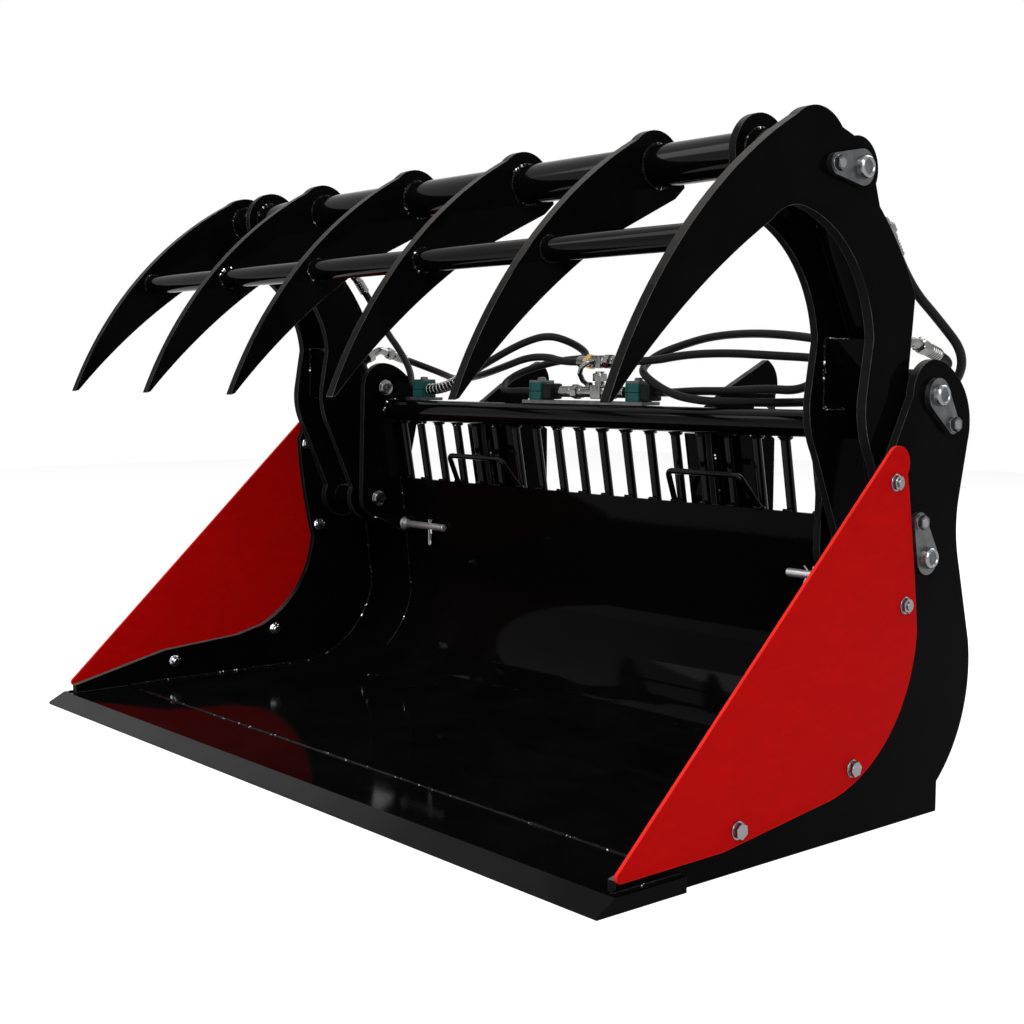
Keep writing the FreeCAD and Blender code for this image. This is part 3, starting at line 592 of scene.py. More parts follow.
def weld_finish(name, colour):
    """Painted weld: wavy and glossy, with painted glints: small spots of light metallic colour on the ripples."""
    tree, shader = new_finish(name)
    place = object_place(tree)
    cells = node(tree, "TexVoronoi", place, Scale=190.0, out="Distance")
    cloud = node(tree, "TexNoise", place, Scale=55.0, Detail=4.0)
    near = node(tree, "MapRange", cells, From_Min=0.36, From_Max=0.28)
    some = node(tree, "MapRange", cloud, From_Min=0.56, From_Max=0.6)
    # Painted highlight: these spots take a light metallic colour to stand in for glints on the ripples
    painted_glint = product(tree, near, some)
    feed_named(shader, {"Base Color": colour_mix(tree, painted_glint, colour, (0.55, 0.57, 0.62)), "Metallic": painted_glint,
                        "Roughness": number_mix(tree, cloud, 0.06, 0.2), "IOR": 1.14})
    bump(tree, shader, cells, distance=0.0012, strength=0.8)


def metal_finish(name, colour, roughness, stain=(0.5, 0.46, 0.38), mottling=0.5, metallic=1.0):
    """Plated or bare metal with a mottled skin and fine grain."""
    tree, shader = new_finish(name)
    place = object_place(tree)
    cloud = node(tree, "TexNoise", place, Scale=70.0, Detail=5.0, Roughness=0.6)
    mottled = node(tree, "MapRange", cloud, From_Min=0.4, From_Max=0.75, To_Max=mottling)
    grain = node(tree, "TexNoise", place, Scale=1 / 0.0012, Detail=3.0)
    rough = number_mix(tree, mottled, roughness, min(1, roughness + 0.25))
    feed_named(shader, {"Base Color": colour_mix(tree, mottled, colour, stain), "Roughness": rough,
                        "Metallic": metallic})
    bump(tree, shader, grain, distance=0.00008, strength=0.6)


def rod_finish(name, colour):
    """Ground hard chrome: bright, with very fine rings round the rod."""
    tree, shader = new_finish(name)
    stretched = node(tree, "Mapping", object_place(tree), Scale=(0.02, 1.0, 1.0))
    fine = node(tree, "TexNoise", stretched, Scale=900.0, Detail=2.0)
    feed_named(shader, {"Base Color": colour_mix(tree, fine, colour, times(colour, 0.82)),
                        "Roughness": number_mix(tree, fine, 0.07, 0.16), "Metallic": 1.0})
    bump(tree, shader, fine, distance=0.00003, strength=0.4)


def rubber_finish(name, colour):
    """Hose cover: matt, with the print of its wrapping cloth and a little dust."""
    tree, shader = new_finish(name)
    place = object_place(tree)
    cloth = node(tree, "TexVoronoi", place, Scale=620.0, out="Distance")
    cloud = node(tree, "TexNoise", place, Scale=38.0, Detail=4.0)
    film = grouped(tree, "Dust and smears", Dust=0.16, Patch_size=0.06)
    shade = colour_mix(tree, cloud, colour, times(colour, 1.7))
    feed_named(shader, {"Base Color": colour_mix(tree, film["Dust"], shade, (0.035, 0.035, 0.034)),
                        "Roughness": number_mix(tree, cloud, 0.3, 0.46), "IOR": 1.14})
    bump(tree, shader, cloth, distance=0.00035, strength=0.5)


def plastic_finish(name, colour):
    """Moulded plastic: even colour with a fine spark texture and paler scuffs."""
    tree, shader = new_finish(name)
    place = object_place(tree)
    spark = node(tree, "TexNoise", place, Scale=1400.0, Detail=2.0)
    cloud = node(tree, "TexNoise", place, Scale=90.0, Detail=3.0)
    feed_named(shader, {"Base Color": colour_mix(tree, cloud, colour, times(colour, 1.5, 0.004)),
                        "Roughness": number_mix(tree, cloud, 0.34, 0.5), "IOR": 1.25})
    bump(tree, shader, spark, distance=0.0001, strength=0.5)


def bevel_finish(material):
    """Gives the blade's ground bevel a paler satin colour, palest towards the right end and darker towards the
    left.
    """
    tree = material.node_tree
    shader = tree.nodes["Principled BSDF"]
    ground = node(tree, "MapRange", direction(tree, "True Normal", "Y"), From_Min=-0.2, From_Max=-0.35)
    place = object_place(tree)
    along = node(tree, "SeparateXYZ", place, out="X")
    cloud = node(tree, "TexNoise", place, Scale=4.0, Detail=3.0)
    wander = node(tree, "Math", cloud, 0.9, along, operation="MULTIPLY_ADD")
    # Paler towards the right end and darker towards the left, with noise along the way
    paler_towards_right = node(tree, "MapRange", wander, From_Min=1.1, From_Max=-0.1)
    satin = colour_mix(tree, paler_towards_right, (0.0045, 0.0045, 0.0048), (0.03, 0.03, 0.031))
    base, rough = (shader.inputs[key].links[0].from_socket for key in ("Base Color", "Roughness"))
    feed_named(shader, {"Base Color": colour_mix(tree, ground, base, satin),
                        "Roughness": number_mix(tree, ground, rough, 0.34)})


def make_finishes():
    """All materials, by the names that the pieces ask for."""
    paint = bpy.context.scene.bucket_paint
    for make_group in (orange_peel, cut_edge, corner_highlights_and_wear, dust_and_smears):
        make_group()
    black, red, zinc = tuple(paint.black), tuple(paint.red), tuple(paint.zinc)
    # The pale colours given for highlight and wear paint highlights on the plates' edges and corners, partly also
    # worn paint
    paint_finish("Black paint", black, paint.gloss, ior=1.055, edge=tuple(paint.edge),
                 highlight_and_wear=(0.1, 0.095, 0.09), dust=0.12)
    paint_finish("Tube paint", black, 0.09, ior=1.2, dust=0.06, smear=0.08)
    paint_finish("Rail paint", black, 0.07, ior=1.16, dust=0.04, smear=0.06)
    paint_finish("Bowl paint", black, 0.04, ior=1.085, peel=0.006, dust=0.05, smear=0.08)
    paint_finish("Blade paint", black, 0.05, ior=1.085, peel=0.006, dust=0.05, smear=0.08)
    # The red plates' paler edges and the pale colour for highlight and wear are painted highlight
    paint_finish("Red paint", red, 0.3, ior=1.06, edge=tuple(paint.red_edge_highlight), highlight_and_wear=(0.6, 0.03, 0.022), dust=0.0)
    weld_finish("Weld paint", black)
    metal_finish("Zinc", times(zinc, 0.6), 0.24, stain=(0.32, 0.31, 0.29), mottling=0.3)
    # Painted light: a lighter, bluer copy of zinc for the inner bolt sets, standing in for the bright reflections
    # on them
    metal_finish("Lit zinc copy", times(zinc, 2.2), 0.16, stain=(0.5, 0.52, 0.56), mottling=0.3)
    metal_finish("Dull zinc", times(zinc, 0.24), 0.36, stain=(0.2, 0.2, 0.195))
    metal_finish("Bright zinc", times(zinc, 1.15), 0.3, metallic=0.75)
    metal_finish("Fitting steel", tuple(paint.steel), 0.13, stain=(0.11, 0.108, 0.1), mottling=0.6)
    metal_finish("Brass", tuple(paint.brass), 0.28, stain=(0.5, 0.3, 0.12))
    rod_finish("Hard chrome", tuple(paint.chrome))
    rubber_finish("Hose rubber", tuple(paint.rubber))
    plastic_finish("Clamp plastic", tuple(paint.plastic))
    bevel_finish(bpy.data.materials["Blade paint"])


# Finishes of the frame's nodes, by how their names start. All other nodes are in black paint.
NODE_FINISHES = {
    "Blade paint": ("cutting_edge",),
    "Bowl paint": ("bucket_shell", "arm_spacers", "coupler_backings", "barrel_", "gland_"),
    "Red paint": ("wing_plate_",),
    "Tube paint": ("main_tube", "guard_hoops", "grille_bars", "pivot_bush_"),
    "Rail paint": ("lower_tube", "rear_tube"),
    "Zinc": ("wing_bolts", "pivot_pin_", "anchor_pin_", "head_pin_"),
    "Bright zinc": ("stop_studs",),
    "Dull zinc": ("pin_retainers", "head_retainers", "clamp_rail", "clamp_covers", "anchor_sleeves"),
    "Fitting steel": ("tee_fittings", "port_fittings_"),
    "Hard chrome": ("piston_rod_",),
    "Clamp plastic": ("hose_clamps",),
    "Hose rubber": ("hose_left_", "hose_right_"),
}


# Operators and the shapes that they use

class BUCKET_OT_camera(Operator):
    """Puts the camera where the photograph was taken from"""

    bl_idname = "bucket.camera"
    bl_label = "Camera"

    def execute(self, context):
        stage = context.scene.bucket_stage
        data = bpy.data.cameras.new("camera")
        data.lens = stage.lens
        data.sensor_width = 36.0
        data.clip_end = 50.0
        camera = add_object("camera", data)
        camera.location = stage.camera_place
        camera.rotation_euler = stage.camera_turn
        context.scene.camera = camera
        return {"FINISHED"}


class BUCKET_OT_finishes(Operator):
    """Makes the finishes and paints every part of the frame"""

    bl_idname = "bucket.finishes"
    bl_label = "Finishes"

    def execute(self, context):
        make_finishes()
        for name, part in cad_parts.items():
            chosen = "Black paint"
            for finish, starts in NODE_FINISHES.items():
                if name.startswith(starts):
                    chosen = finish
            if not part.material_slots:
                part.data.materials.append(None)
            for slot in part.material_slots:
                slot.material = bpy.data.materials[chosen]
        return {"FINISHED"}


def route_line(name, route):
    """Points of the smooth spline that a hose's route gives."""
    data = bpy.data.curves.new(name, "CURVE")
    data.dimensions = "3D"
    spline = data.splines.new("NURBS")
    spline.points.add(len(route) - 1)
    for point, place in zip(spline.points, route):
        point.co = (*metres(*place), 1.0)
    spline.order_u = 3
    spline.use_endpoint_u = True
    spline.resolution_u = 12
    holder = add_object(name, data)
    bpy.context.view_layer.update()
    graph = bpy.context.evaluated_depsgraph_get()
    mesh = bpy.data.meshes.new_from_object(holder.evaluated_get(graph))
    line = [v.co.copy() for v in mesh.vertices]
    bpy.data.meshes.remove(mesh)
    bpy.data.objects.remove(holder)
    bpy.data.curves.remove(data)
    return line


def spring_guard(line):
    """A spring of round wire over a stretch of a hose's line."""
    low, high = GUARD_X
    held = [p for p in line if low * MM < p.x < high * MM and p.z < GUARD_BELOW * MM]
    held = spaced(held, GUARD_PITCH * MM / TURN_STEPS)
    points = []
    for k, (here, (a, b)) in enumerate(zip(held, frames_along(held))):
        t = 2 * math.pi * k / TURN_STEPS
        points.append(here + (a * math.cos(t) + b * math.sin(t)) * GUARD_RADIUS * MM)
    bm = bmesh.new()
    sweep(bm, points, GUARD_WIRE * MM)
    piece("spring_guard", bm, "Fitting steel", "bucket", ROUND_SHARP)


class BUCKET_OT_hoses(Operator):
    """Lays the four hydraulic hoses"""

    bl_idname = "bucket.hoses"
    bl_label = "Hoses"

    def execute(self, context):
        round_sides = context.scene.bucket_detail.hose_sides
        for name, hose in HOSES.items():
            line = route_line(name + "_line", hose["route"])
            if name == GUARDED:
                spring_guard(line)
            bm = bmesh.new()
            sweep(bm, line, HOSE_DIAMETER / 2 * MM, round_sides)
            made = piece(name + "_cover", bm, "Hose rubber", sharp=ROUND_SHARP)
            start, end = (metres(*p) for p in hose["bend"])
            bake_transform(made)
            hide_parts(name)
            tuple(line[0])
            [tuple(p) for p in line]
        return {"FINISHED"}


class BUCKET_OT_grapple_welds(Operator):
    """Welds the tubes into the tines and arms"""

    bl_idname = "bucket.grapple_welds"
    bl_label = "Grapple welds"

    def execute(self, context):
        bm = bmesh.new()
        tines = [x + side * TINE_HALF for x in TINE_PLACES for side in (-1, 1)]
        arms = [side * x for side in (-1, 1) for x in (ARM_IN, ARM_IN_FAR, ARM_OUT)]
        rings = [(MAIN_TUBE, MAIN_RADIUS, x, 0.0038) for x in tines + arms]
        rings += [(LOWER_TUBE, LOWER_RADIUS, x, 0.0034) for x in tines + [-ARM_OUT, ARM_OUT]]
        for seed, (middle, radius, x, size) in enumerate(rings, 11):
            ring_bead(bm, middle, radius + 0.4, x, seed, size)
        weld_piece("grapple_tube_welds", bm, "grapple")
        return {"FINISHED"}


def bowl_line(x):
    """Points along the bowl's inner face in the side view, from the blade to the pockets' top."""
    points = [metres(x, FLOOR_FRONT, FLOOR_TOP), metres(x, BEND_CENTRE[0], FLOOR_TOP)]
    for k in range(1, BEND_STEPS + 1):
        a = math.radians(-90 + BEND_TURN * k / BEND_STEPS)
        points.append(metres(x, BEND_CENTRE[0] + BEND_RADIUS * math.cos(a),
                             BEND_CENTRE[1] + BEND_RADIUS * math.sin(a)))
    return points + [metres(x, back_face(0, POCKET_TOP), POCKET_TOP)]


class BUCKET_OT_bowl_welds(Operator):
    """Welds the bowl to the blade, the side plates, the cheeks and the tube along its back"""

    bl_idname = "bucket.bowl_welds"
    bl_label = "Bowl welds"

    def execute(self, context):
        blade, bowl, tube = bmesh.new(), bmesh.new(), bmesh.new()
        seam(blade, [(side * SIDE_IN, BLADE_BACK, FLOOR_TOP - 1) for side in (-1, 1)], seed=3, size=0.0032)
        for sign in SIGNS:
            ends = [(sign * (SIDE_OUT + 1), y, FLOOR_TOP + 0.5) for y in (SIDE_FRONT, BLADE_BACK)]
            seam(blade, ends, seed=5 + sign, size=0.003)
            bead(bowl, bowl_line(sign * SIDE_IN), seed=40 + sign)
            for k, x in enumerate((CHEEK_IN, CHEEK_OUT, SIDE_IN)):
                ring_bead(tube, REAR_TUBE, REAR_RADIUS + 0.5, sign * x, seed=50 + sign * (k + 1))
        weld_piece("blade_seam", blade)
        weld_piece("side_seams", bowl)
        weld_piece("rear_tube_welds", tube)
        return {"FINISHED"}


def bar_y(height):
    """Y of a grille bar's axis at a height."""
    share = (height - BAR_FOOT[1]) / (BAR_HEAD[1] - BAR_FOOT[1])
    return BAR_FOOT[0] + share * (BAR_HEAD[0] - BAR_FOOT[0])


class BUCKET_OT_grille_welds(Operator):
    """Welds the grille bars to the tube and to the back sheet, and the hoops to the sheet's edge"""

    bl_idname = "bucket.grille_welds"
    bl_label = "Grille welds"

    def execute(self, context):
        bar_ring, hoop_ring, beside_bar, over_bar = 8.6, 5.6, 7.2, 8.5
        head, head_wander, ring_height, foot_ends = 532.0, 1.5, 526.5, (408.0, 376.0)
        lean = Vector((0, BAR_HEAD[0] - BAR_FOOT[0], BAR_HEAD[1] - BAR_FOOT[1]))
        top, foot = bmesh.new(), bmesh.new()
        dice = random.Random(21)
        for k in range(BAR_COUNT):
            x = (k - (BAR_COUNT - 1) / 2) * BAR_PITCH
            for height, size in ((head + dice.uniform(-head_wander, head_wander), 0.0052), (ring_height, 0.0028)):
                ring = ring_about((x, bar_y(height), height), lean, bar_ring, 18)
                bead(top, ring, seed=300 + k, size=size, closed=True)
            for side in (-1, 1):
                ends = [(x + side * beside_bar, back_face(SHELL, z) + 1.0, z) for z in foot_ends]
                seam(foot, ends, seed=340 + k + side, size=0.0034)
            y = back_face(SHELL / 2, BACK_TOP)
            ends = [(x + side * over_bar, y, BACK_TOP + 0.5) for side in (-1, 1)]
            seam(foot, ends, seed=380 + k, size=0.0034)
        for middle in HOOPS:
            for side in (-1, 1):
                place = (middle + side * HOOP_FEET, back_face(SHELL / 2, BACK_TOP + 1), BACK_TOP + 1.5)
                bead(foot, ring_about(place, (0, 0, 1), hoop_ring, 14), seed=410 + side, size=0.003, closed=True)
        weld_piece("grille_head_welds", top)
        weld_piece("grille_foot_welds", foot)
        return {"FINISHED"}


class BUCKET_OT_arm_welds(Operator):
    """Welds the spacers between the arm plates and the bushes into them"""

    bl_idname = "bucket.arm_welds"
    bl_label = "Arm welds"

    def execute(self, context):
        bush_ring = 20.4
        (y0, z0), (y1, z1) = SPACER
        bm = bmesh.new()
        for sign in SIGNS:
            for k, x in enumerate((ARM_IN_FAR, ARM_OUT)):
                loop = [(sign * x, y, z) for y, z in ((y0, z0), (y1, z0), (y1, z1), (y0, z1))]
                seam(bm, loop, seed=60 + k + sign, size=0.0038, closed=True)
            for k, x in enumerate((ARM_IN, ARM_IN_FAR, ARM_OUT, ARM_OUT_FAR)):
                ring_bead(bm, PIVOT, bush_ring, sign * x, seed=70 + k + sign, size=0.003)
        weld_piece("arm_welds", bm, "grapple")
        return {"FINISHED"}


class BUCKET_OT_cheek_welds(Operator):
    """Welds the cheeks along the pockets, and the sleeves of the cylinders' anchors"""

    bl_idname = "bucket.cheek_welds"
    bl_label = "Cheek welds"

    def execute(self, context):
        sleeve_ring = 19.4
        bm = bmesh.new()
        for sign in SIGNS:
            middle = sign * (CHEEK_IN + CHEEK_OUT) / 2
            bead(bm, [p for p in bowl_line(middle) if p.z > CHEEK_FOOT * MM], seed=80 + sign, size=0.0026)
            for k, x in enumerate((CHEEK_IN, CHEEK_OUT)):
                edge = [(sign * x, back_face(0, z) - 1.5, z) for z in (POCKET_TOP, BACK_TOP)]
                seam(bm, edge, seed=84 + k + sign, size=0.0036)
            for k, x in enumerate((CHEEK_OUT, SIDE_IN)):
                ring_bead(bm, ANCHOR, sleeve_ring, sign * x, seed=90 + k + sign, size=0.003)
        weld_piece("cheek_welds", bm)
        return {"FINISHED"}


class BUCKET_OT_coupler_welds(Operator):
    """Welds the coupler's ears and their backing plates to the back sheet and the tube"""

    bl_idname = "bucket.coupler_welds"
    bl_label = "Coupler welds"

    def execute(self, context):
        arc_steps, arc_start, arc_turn = 24, -50.0, 130.0
        bm = bmesh.new()
        for sign in SIGNS:
            for k, x in enumerate(EAR_FACES):
                low = [(sign * x, back_face(SHELL, z) + 0.5, z) for z in (EAR_ROOT[0], BACKING_FOOT)]
                high = [(sign * x, back_face(SHELL * 2, z) - 4.0, z) for z in (BACKING_FOOT, EAR_ROOT[1])]
                seam(bm, low, seed=100 + k + sign, size=0.0046)
                seam(bm, high, seed=104 + k + sign, size=0.0046)
                arc = []
                for step in range(arc_steps):
                    a = math.radians(arc_start + arc_turn * step / (arc_steps - 1))
                    arc.append((sign * x, REAR_TUBE[0] + (REAR_RADIUS + 0.6) * math.cos(a),
                                REAR_TUBE[1] + (REAR_RADIUS + 0.6) * math.sin(a)))
                seam(bm, arc, seed=108 + k + sign, size=0.004)
            edge = [(sign * x, back_face(SHELL, BACKING_FOOT) + 3.0, BACKING_FOOT) for x in BACKING_X]
            seam(bm, edge, seed=112 + sign, size=0.004)
        weld_piece("coupler_welds", bm)
        return {"FINISHED"}


def bolt_side(bm, face, way, place, nutted, phase, end_height):
    """One side of a wing bolt: a washer with a lock nut and the bolt's end, or with the bolt's head."""
    washer = ((0.0, 11.6), (0.3, 12.0), (1.7, 12.0), (2.1, 11.6))
    bolt_end = ((-0.5, 6.0), (1.6, 6.0), (1.6, 5.5), (2.0, 6.0), (2.6, 5.4), (2.8, 3.0))
    head_dish, dish_height = ((-0.2, 7.4), (0.15, 7.2), (0.2, 0.5)), 8.6
    height, chamfer = (5.6, 0.9) if nutted else (6.6, 0.5)
    across = bpy.context.scene.bucket_detail.bolt_across / MM
    outward = (way, 0, 0)
    lathe(bm, (face, *place), outward, washer)
    hexagon(bm, (face + way * washer[-1][0], *place), outward, across, height, phase, chamfer=chamfer)
    if nutted:
        lathe(bm, (face + way * end_height, *place), outward, bolt_end)
    else:
        lathe(bm, (face + way * dish_height, *place), outward, head_dish)


class BUCKET_OT_wing_bolts(Operator):
    """Bolts the wing plates on, with washers, lock nuts and bolt ends"""

    bl_idname = "bucket.wing_bolts"
    bl_label = "Wing bolts"

    def execute(self, context):
        outer, inner = bmesh.new(), bmesh.new()
        dice = random.Random(7)
        for sign in SIGNS:
            for k, place in enumerate(WING_BOLTS):
                turn = dice.uniform(0, math.pi / 3)
                nut_outside = k < NUTS_OUTSIDE
                bolt_side(outer, sign * WING_OUT, sign, place, nut_outside, turn, end_height=7.6)
                bolt_side(inner, sign * SIDE_IN, -sign, place, not nut_outside, turn + 0.4, end_height=7.7)
        made = piece("wing_bolt_sets", outer, "Zinc", "bucket", BOLT_SHARP)
        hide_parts("wing_bolts")
        # The inner sets take the lighter copy of zinc, which is painted light
        piece("wing_bolt_inner_sets", inner, "Lit zinc copy", "bucket", BOLT_SHARP)
        return {"FINISHED"}


class BUCKET_OT_pin_ends(Operator):
    """Finishes the pins' ends, the tail bolts of their retainers and the rings at their inner ends"""

    bl_idname = "bucket.pin_ends"
    bl_label = "Pin ends"

    def execute(self, context):
        collar = ((0.0, 15.8), (1.4, 15.6), (4.6, 14.9), (7.0, 14.6), (8.6, 13.8), (9.8, 12.4), (9.8, 10.4),
                  (8.3, 9.2), (8.2, 8.0))
        recess = ((8.0, 9.4), (8.4, 9.2), (8.4, 4.6), (9.0, 3.8), (9.0, 0.6))
        dimple, dimple_height, dimple_out = ((-0.5, 1.5), (0.2, 1.3), (0.5, 0.7)), 8.6, 6.4
        washer = ((0.0, 10.5), (1.3, 10.5), (1.6, 10.1))
        crown, crown_height = ((-0.4, 6.6), (0.3, 6.2), (0.5, 5.6), (0.45, 4.8), (0.5, 0.5)), 8.0
        inner_end, inner_x = ((-0.6, 12.6), (0.3, 12.0), (0.6, 11.0), (0.5, 4.0), (0.1, 2.0)), 565.0
        inner_rings, ring_wire = ((567.5, 13.4), (571.5, 14.5)), 0.0013
        bright = {"bucket": bmesh.new(), "grapple": bmesh.new()}
        dull = {"bucket": bmesh.new(), "grapple": bmesh.new()}
        dice = random.Random(5)
        for sign in SIGNS:
            out = (sign, 0, 0)
            for body, face, pin, tail in RETAINERS:
                lathe(bright[body], (sign * face, *pin), out, collar, segments=40)
                lathe(dull[body], (sign * face, *pin), out, recess, segments=32)
                for _ in range(3):
                    t = dice.uniform(0, 2 * math.pi)
                    place = (sign * (face + dimple_height), pin[0] + dimple_out * math.cos(t),
                             pin[1] + dimple_out * math.sin(t))
                    lathe(dull[body], place, out, dimple, segments=8)
                lathe(bright[body], (sign * face, *tail), out, washer, segments=32)
                lathe(bright[body], (sign * (face + crown_height), *tail), out, crown, segments=32)
            for pin in (PIVOT, ANCHOR):
                for x, radius in inner_rings:
                    sweep(bright["bucket"], ring_points(pin, radius, sign * x, 32), ring_wire, closed=True)
                lathe(bright["bucket"], (sign * inner_x, *pin), (-sign, 0, 0), inner_end, segments=32)
        piece("pin_collars", bright["bucket"], "Zinc", "bucket", BOLT_SHARP)
        piece("head_pin_collars", bright["grapple"], "Zinc", "grapple", BOLT_SHARP)
        piece("pin_recesses", dull["bucket"], "Dull zinc", "bucket", BOLT_SHARP)
        piece("head_pin_recesses", dull["grapple"], "Dull zinc", "grapple", BOLT_SHARP)
        return {"FINISHED"}


class BUCKET_OT_stud_clips(Operator):
    """Puts the spring clips through the studs on the back sheet, and their nuts and washers on"""

    bl_idname = "bucket.stud_clips"
    bl_label = "Stud clips"

    def execute(self, context):
        clip_x, clip_lean, nut_across = 492, 0.35, 19.0
        clip = ((0, 14), (0, 6), (0, -10), (0, -30), (1, -36), (6, -39), (10, -35), (8, -28), (10, -20),
                (14, -13), (11, -6), (8.4, 1), (9, 8), (14, 14))
        stud_end = ((-0.5, 7.1), (0.2, 6.6), (1.0, 5.2), (1.2, 1.0))
        washer = ((0, 13), (1.5, 13), (2, 12.4))
        bm = bmesh.new()
        y, z = STUD_PLACE
        for sign in SIGNS:
            inward = (-sign, 0, 0)
            points = [metres(sign * (clip_x - a), y - clip_lean * a, z + b) for a, b in clip]
            sweep(bm, spaced(points, 0.003), context.scene.bucket_detail.clip_wire / 2)
            lathe(bm, (sign * STUD_END, y, z), inward, stud_end, segments=24)
            lathe(bm, (sign * STUD_WASHER, y, z), inward, washer, segments=32)
            hexagon(bm, (sign * STUD_NUT, y, z), inward, nut_across, 8.0, phase=0.3)
        piece("stud_clips", bm, "Bright zinc", "bucket", sharp=40.0)
        return {"FINISHED"}


def ferrule_rows(length, radius=10.2, ribs=5):
    """Rows of a crimped hose ferrule, smooth at its nut and ribbed towards the hose."""
    rows = [(0.0, radius - 1.6), (0.6, radius - 0.4), (1.2, radius), (length * 0.3, radius)]
    step = length * 0.62 / ribs
    for k in range(ribs):
        at = length * 0.33 + k * step
        rows += [(at, radius - 0.9), (at + step * 0.25, radius - 0.9), (at + step * 0.4, radius),
                 (at + step * 0.85, radius)]
    return rows + [(length - 0.6, radius - 0.3), (length, radius - 1.8)]


def tee(bm, nut_bm, height, start, ferrule, nut, body, last_ferrule):
    """A tee along X: ferrule, swivel nut, body, swivel nut and ferrule. Its first nut has its own mesh."""
    across = 24.0
    neck, far_neck = ((0, 9.4), (1.5, 9.4), (2, 8.6), (4, 8.6)), ((0, 8.6), (3, 8.6), (4, 9.4), (5, 9.4))
    body_rows = ((0, 9.8), (1.2, 10.8), (6, 10.8), (7, 9.9), (body - 13, 9.9), (body - 12, 10.8),
                 (body - 7.2, 10.8), (body - 6, 9.8))
    on, back = (1, 0, 0), (-1, 0, 0)
    x = start + ferrule
    lathe(bm, (x, LINE_Y, height), back, ferrule_rows(ferrule), segments=40)
    hexagon(nut_bm, (x, LINE_Y, height), on, across, nut, phase=0.2)
    lathe(bm, (x + nut, LINE_Y, height), on, neck, segments=32)
    x += nut + 3
    lathe(bm, (x, LINE_Y, height), on, body_rows, segments=40)
    lathe(bm, (x + body - 7, LINE_Y, height), on, far_neck, segments=32)
    x += body - 3 + nut
    hexagon(bm, (x, LINE_Y, height), back, across, nut, phase=0.6)
    lathe(bm, (x, LINE_Y, height), on, ferrule_rows(last_ferrule), segments=40)


class BUCKET_OT_tees(Operator):
    """Builds the two tees with their swivel nuts, crimped ferrules, riser and elbow"""

    bl_idname = "bucket.tees"
    bl_label = "Tee fittings"

    def execute(self, context):
        riser = ((0, 8.4), (2, 8.4), (2.5, 9.2), (5, 9.2), (5.5, 8.2), (24, 8.2))
        elbow = ((-4, 690, 606), (-5, 676, 614), (-3, 667, 626), (4, 664, 637), (13, 669, 645), (18, 680, 648))
        upward = (0, 0, 1)
        bm, brass = bmesh.new(), bmesh.new()
        tee(bm, bm, LOWER_LINE, start=-75.0, ferrule=33.0, nut=14.0, body=74.0, last_ferrule=30.0)
        tee(bm, brass, UPPER_LINE, start=-28.0, ferrule=24.0, nut=12.0, body=34.0, last_ferrule=23.0)
        for height, half_x, half in ((LOWER_LINE, 13, 12.5), (UPPER_LINE, 12, 11.5)):
            box(bm, (RISER_X - half_x, LINE_Y - half, height - half),
                (RISER_X + half_x, LINE_Y + half, height + half), bevel=2.5)
        lathe(bm, (RISER_X, LINE_Y, LOWER_LINE + 12), upward, riser, segments=32)
        hexagon(bm, (RISER_X, LINE_Y, LOWER_LINE + 19), upward, 22.0, 14.0, phase=0.4)
        sweep(bm, spaced([metres(*p) for p in elbow], 0.003), 0.0046, 14)
        hexagon(bm, (elbow[0][0], LINE_Y, LOWER_LINE + 8), upward, 14.0, 9.0)
        made = piece("tee_details", bm, "Fitting steel", "bucket")
        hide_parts("tee_fittings")
        piece("brass_nut", brass, "Brass", "bucket")
        return {"FINISHED"}


class BUCKET_OT_cylinder_details(Operator):
    """Adds the cylinders' crimped hose ends, nuts, welds round the port bosses, other welds and wiper rings"""

    bl_idname = "bucket.cylinder_details"
    bl_label = "Cylinder details"

    def execute(self, context):
        wiper = ((0, 19.0), (1.2, 19.0), (1.8, 18.0), (2.2, 16.0))
        eye = ((0.0, 13.2), (0.0, 24.6), (0.8, 25.4), (49.8, 25.4), (50.6, 24.6), (50.6, 13.2))
        neck = ((0.0, 15.4), (3.0, 17.6), (12.0, 18.4))
        along, across = (Vector((0, *d)) for d in (CYLINDER_ALONG, CYLINDER_ACROSS))
        for sign, word in zip(SIGNS, ("left", "right")):
            x = sign * CYLINDER_X
            foot, head = Vector((x, *ANCHOR)), Vector((x, *HEAD))
            steel, weld, rod, eyes = (bmesh.new() for _ in range(4))
            for end, run in FERRULES:
                base = Vector((x, *end)) - Vector((0, *run)) * FERRULE_LENGTH
                lathe(steel, base, (0, *run), ferrule_rows(FERRULE_LENGTH), segments=40)
                hexagon(steel, base, (0, -run[0], -run[1]), HOSE_NUT_ACROSS, 11.0, phase=0.3, foot=-2.0)
            for height in PORT_HEIGHTS:
                ring = ring_about(foot + along * height + across * PORT_OUT, across, PORT_RING)
                bead(weld, ring, seed=120 + sign, size=0.0028, closed=True)
            for height, radius in BARREL_SEAMS:
                ring = ring_about(foot + along * height, along, radius, 40)
                bead(weld, ring, seed=124 + sign, size=0.0026, closed=True)
            lathe(steel, foot + along * WIPER_HEIGHT, along, wiper, segments=40)
            ring = ring_about(head - along * EYE_WELD, along, ROD_RADIUS + 0.8, 30)
            bead(rod, ring, seed=128 + sign, size=0.003, closed=True)
            lathe(eyes, (x - EYE_HALF, *HEAD), (1, 0, 0), eye)
            lathe(eyes, head - along * EYE_NECK, along, neck, segments=40)
            piece("rod_eye_paint_" + word, eyes, "Tube paint", "rod_" + word)
            piece("hose_ends_" + word, steel, "Fitting steel", "cylinder_" + word)
            weld_piece("cylinder_welds_" + word, weld, "cylinder_" + word)
            weld_piece("rod_eye_weld_" + word, rod, "rod_" + word)
        return {"FINISHED"}


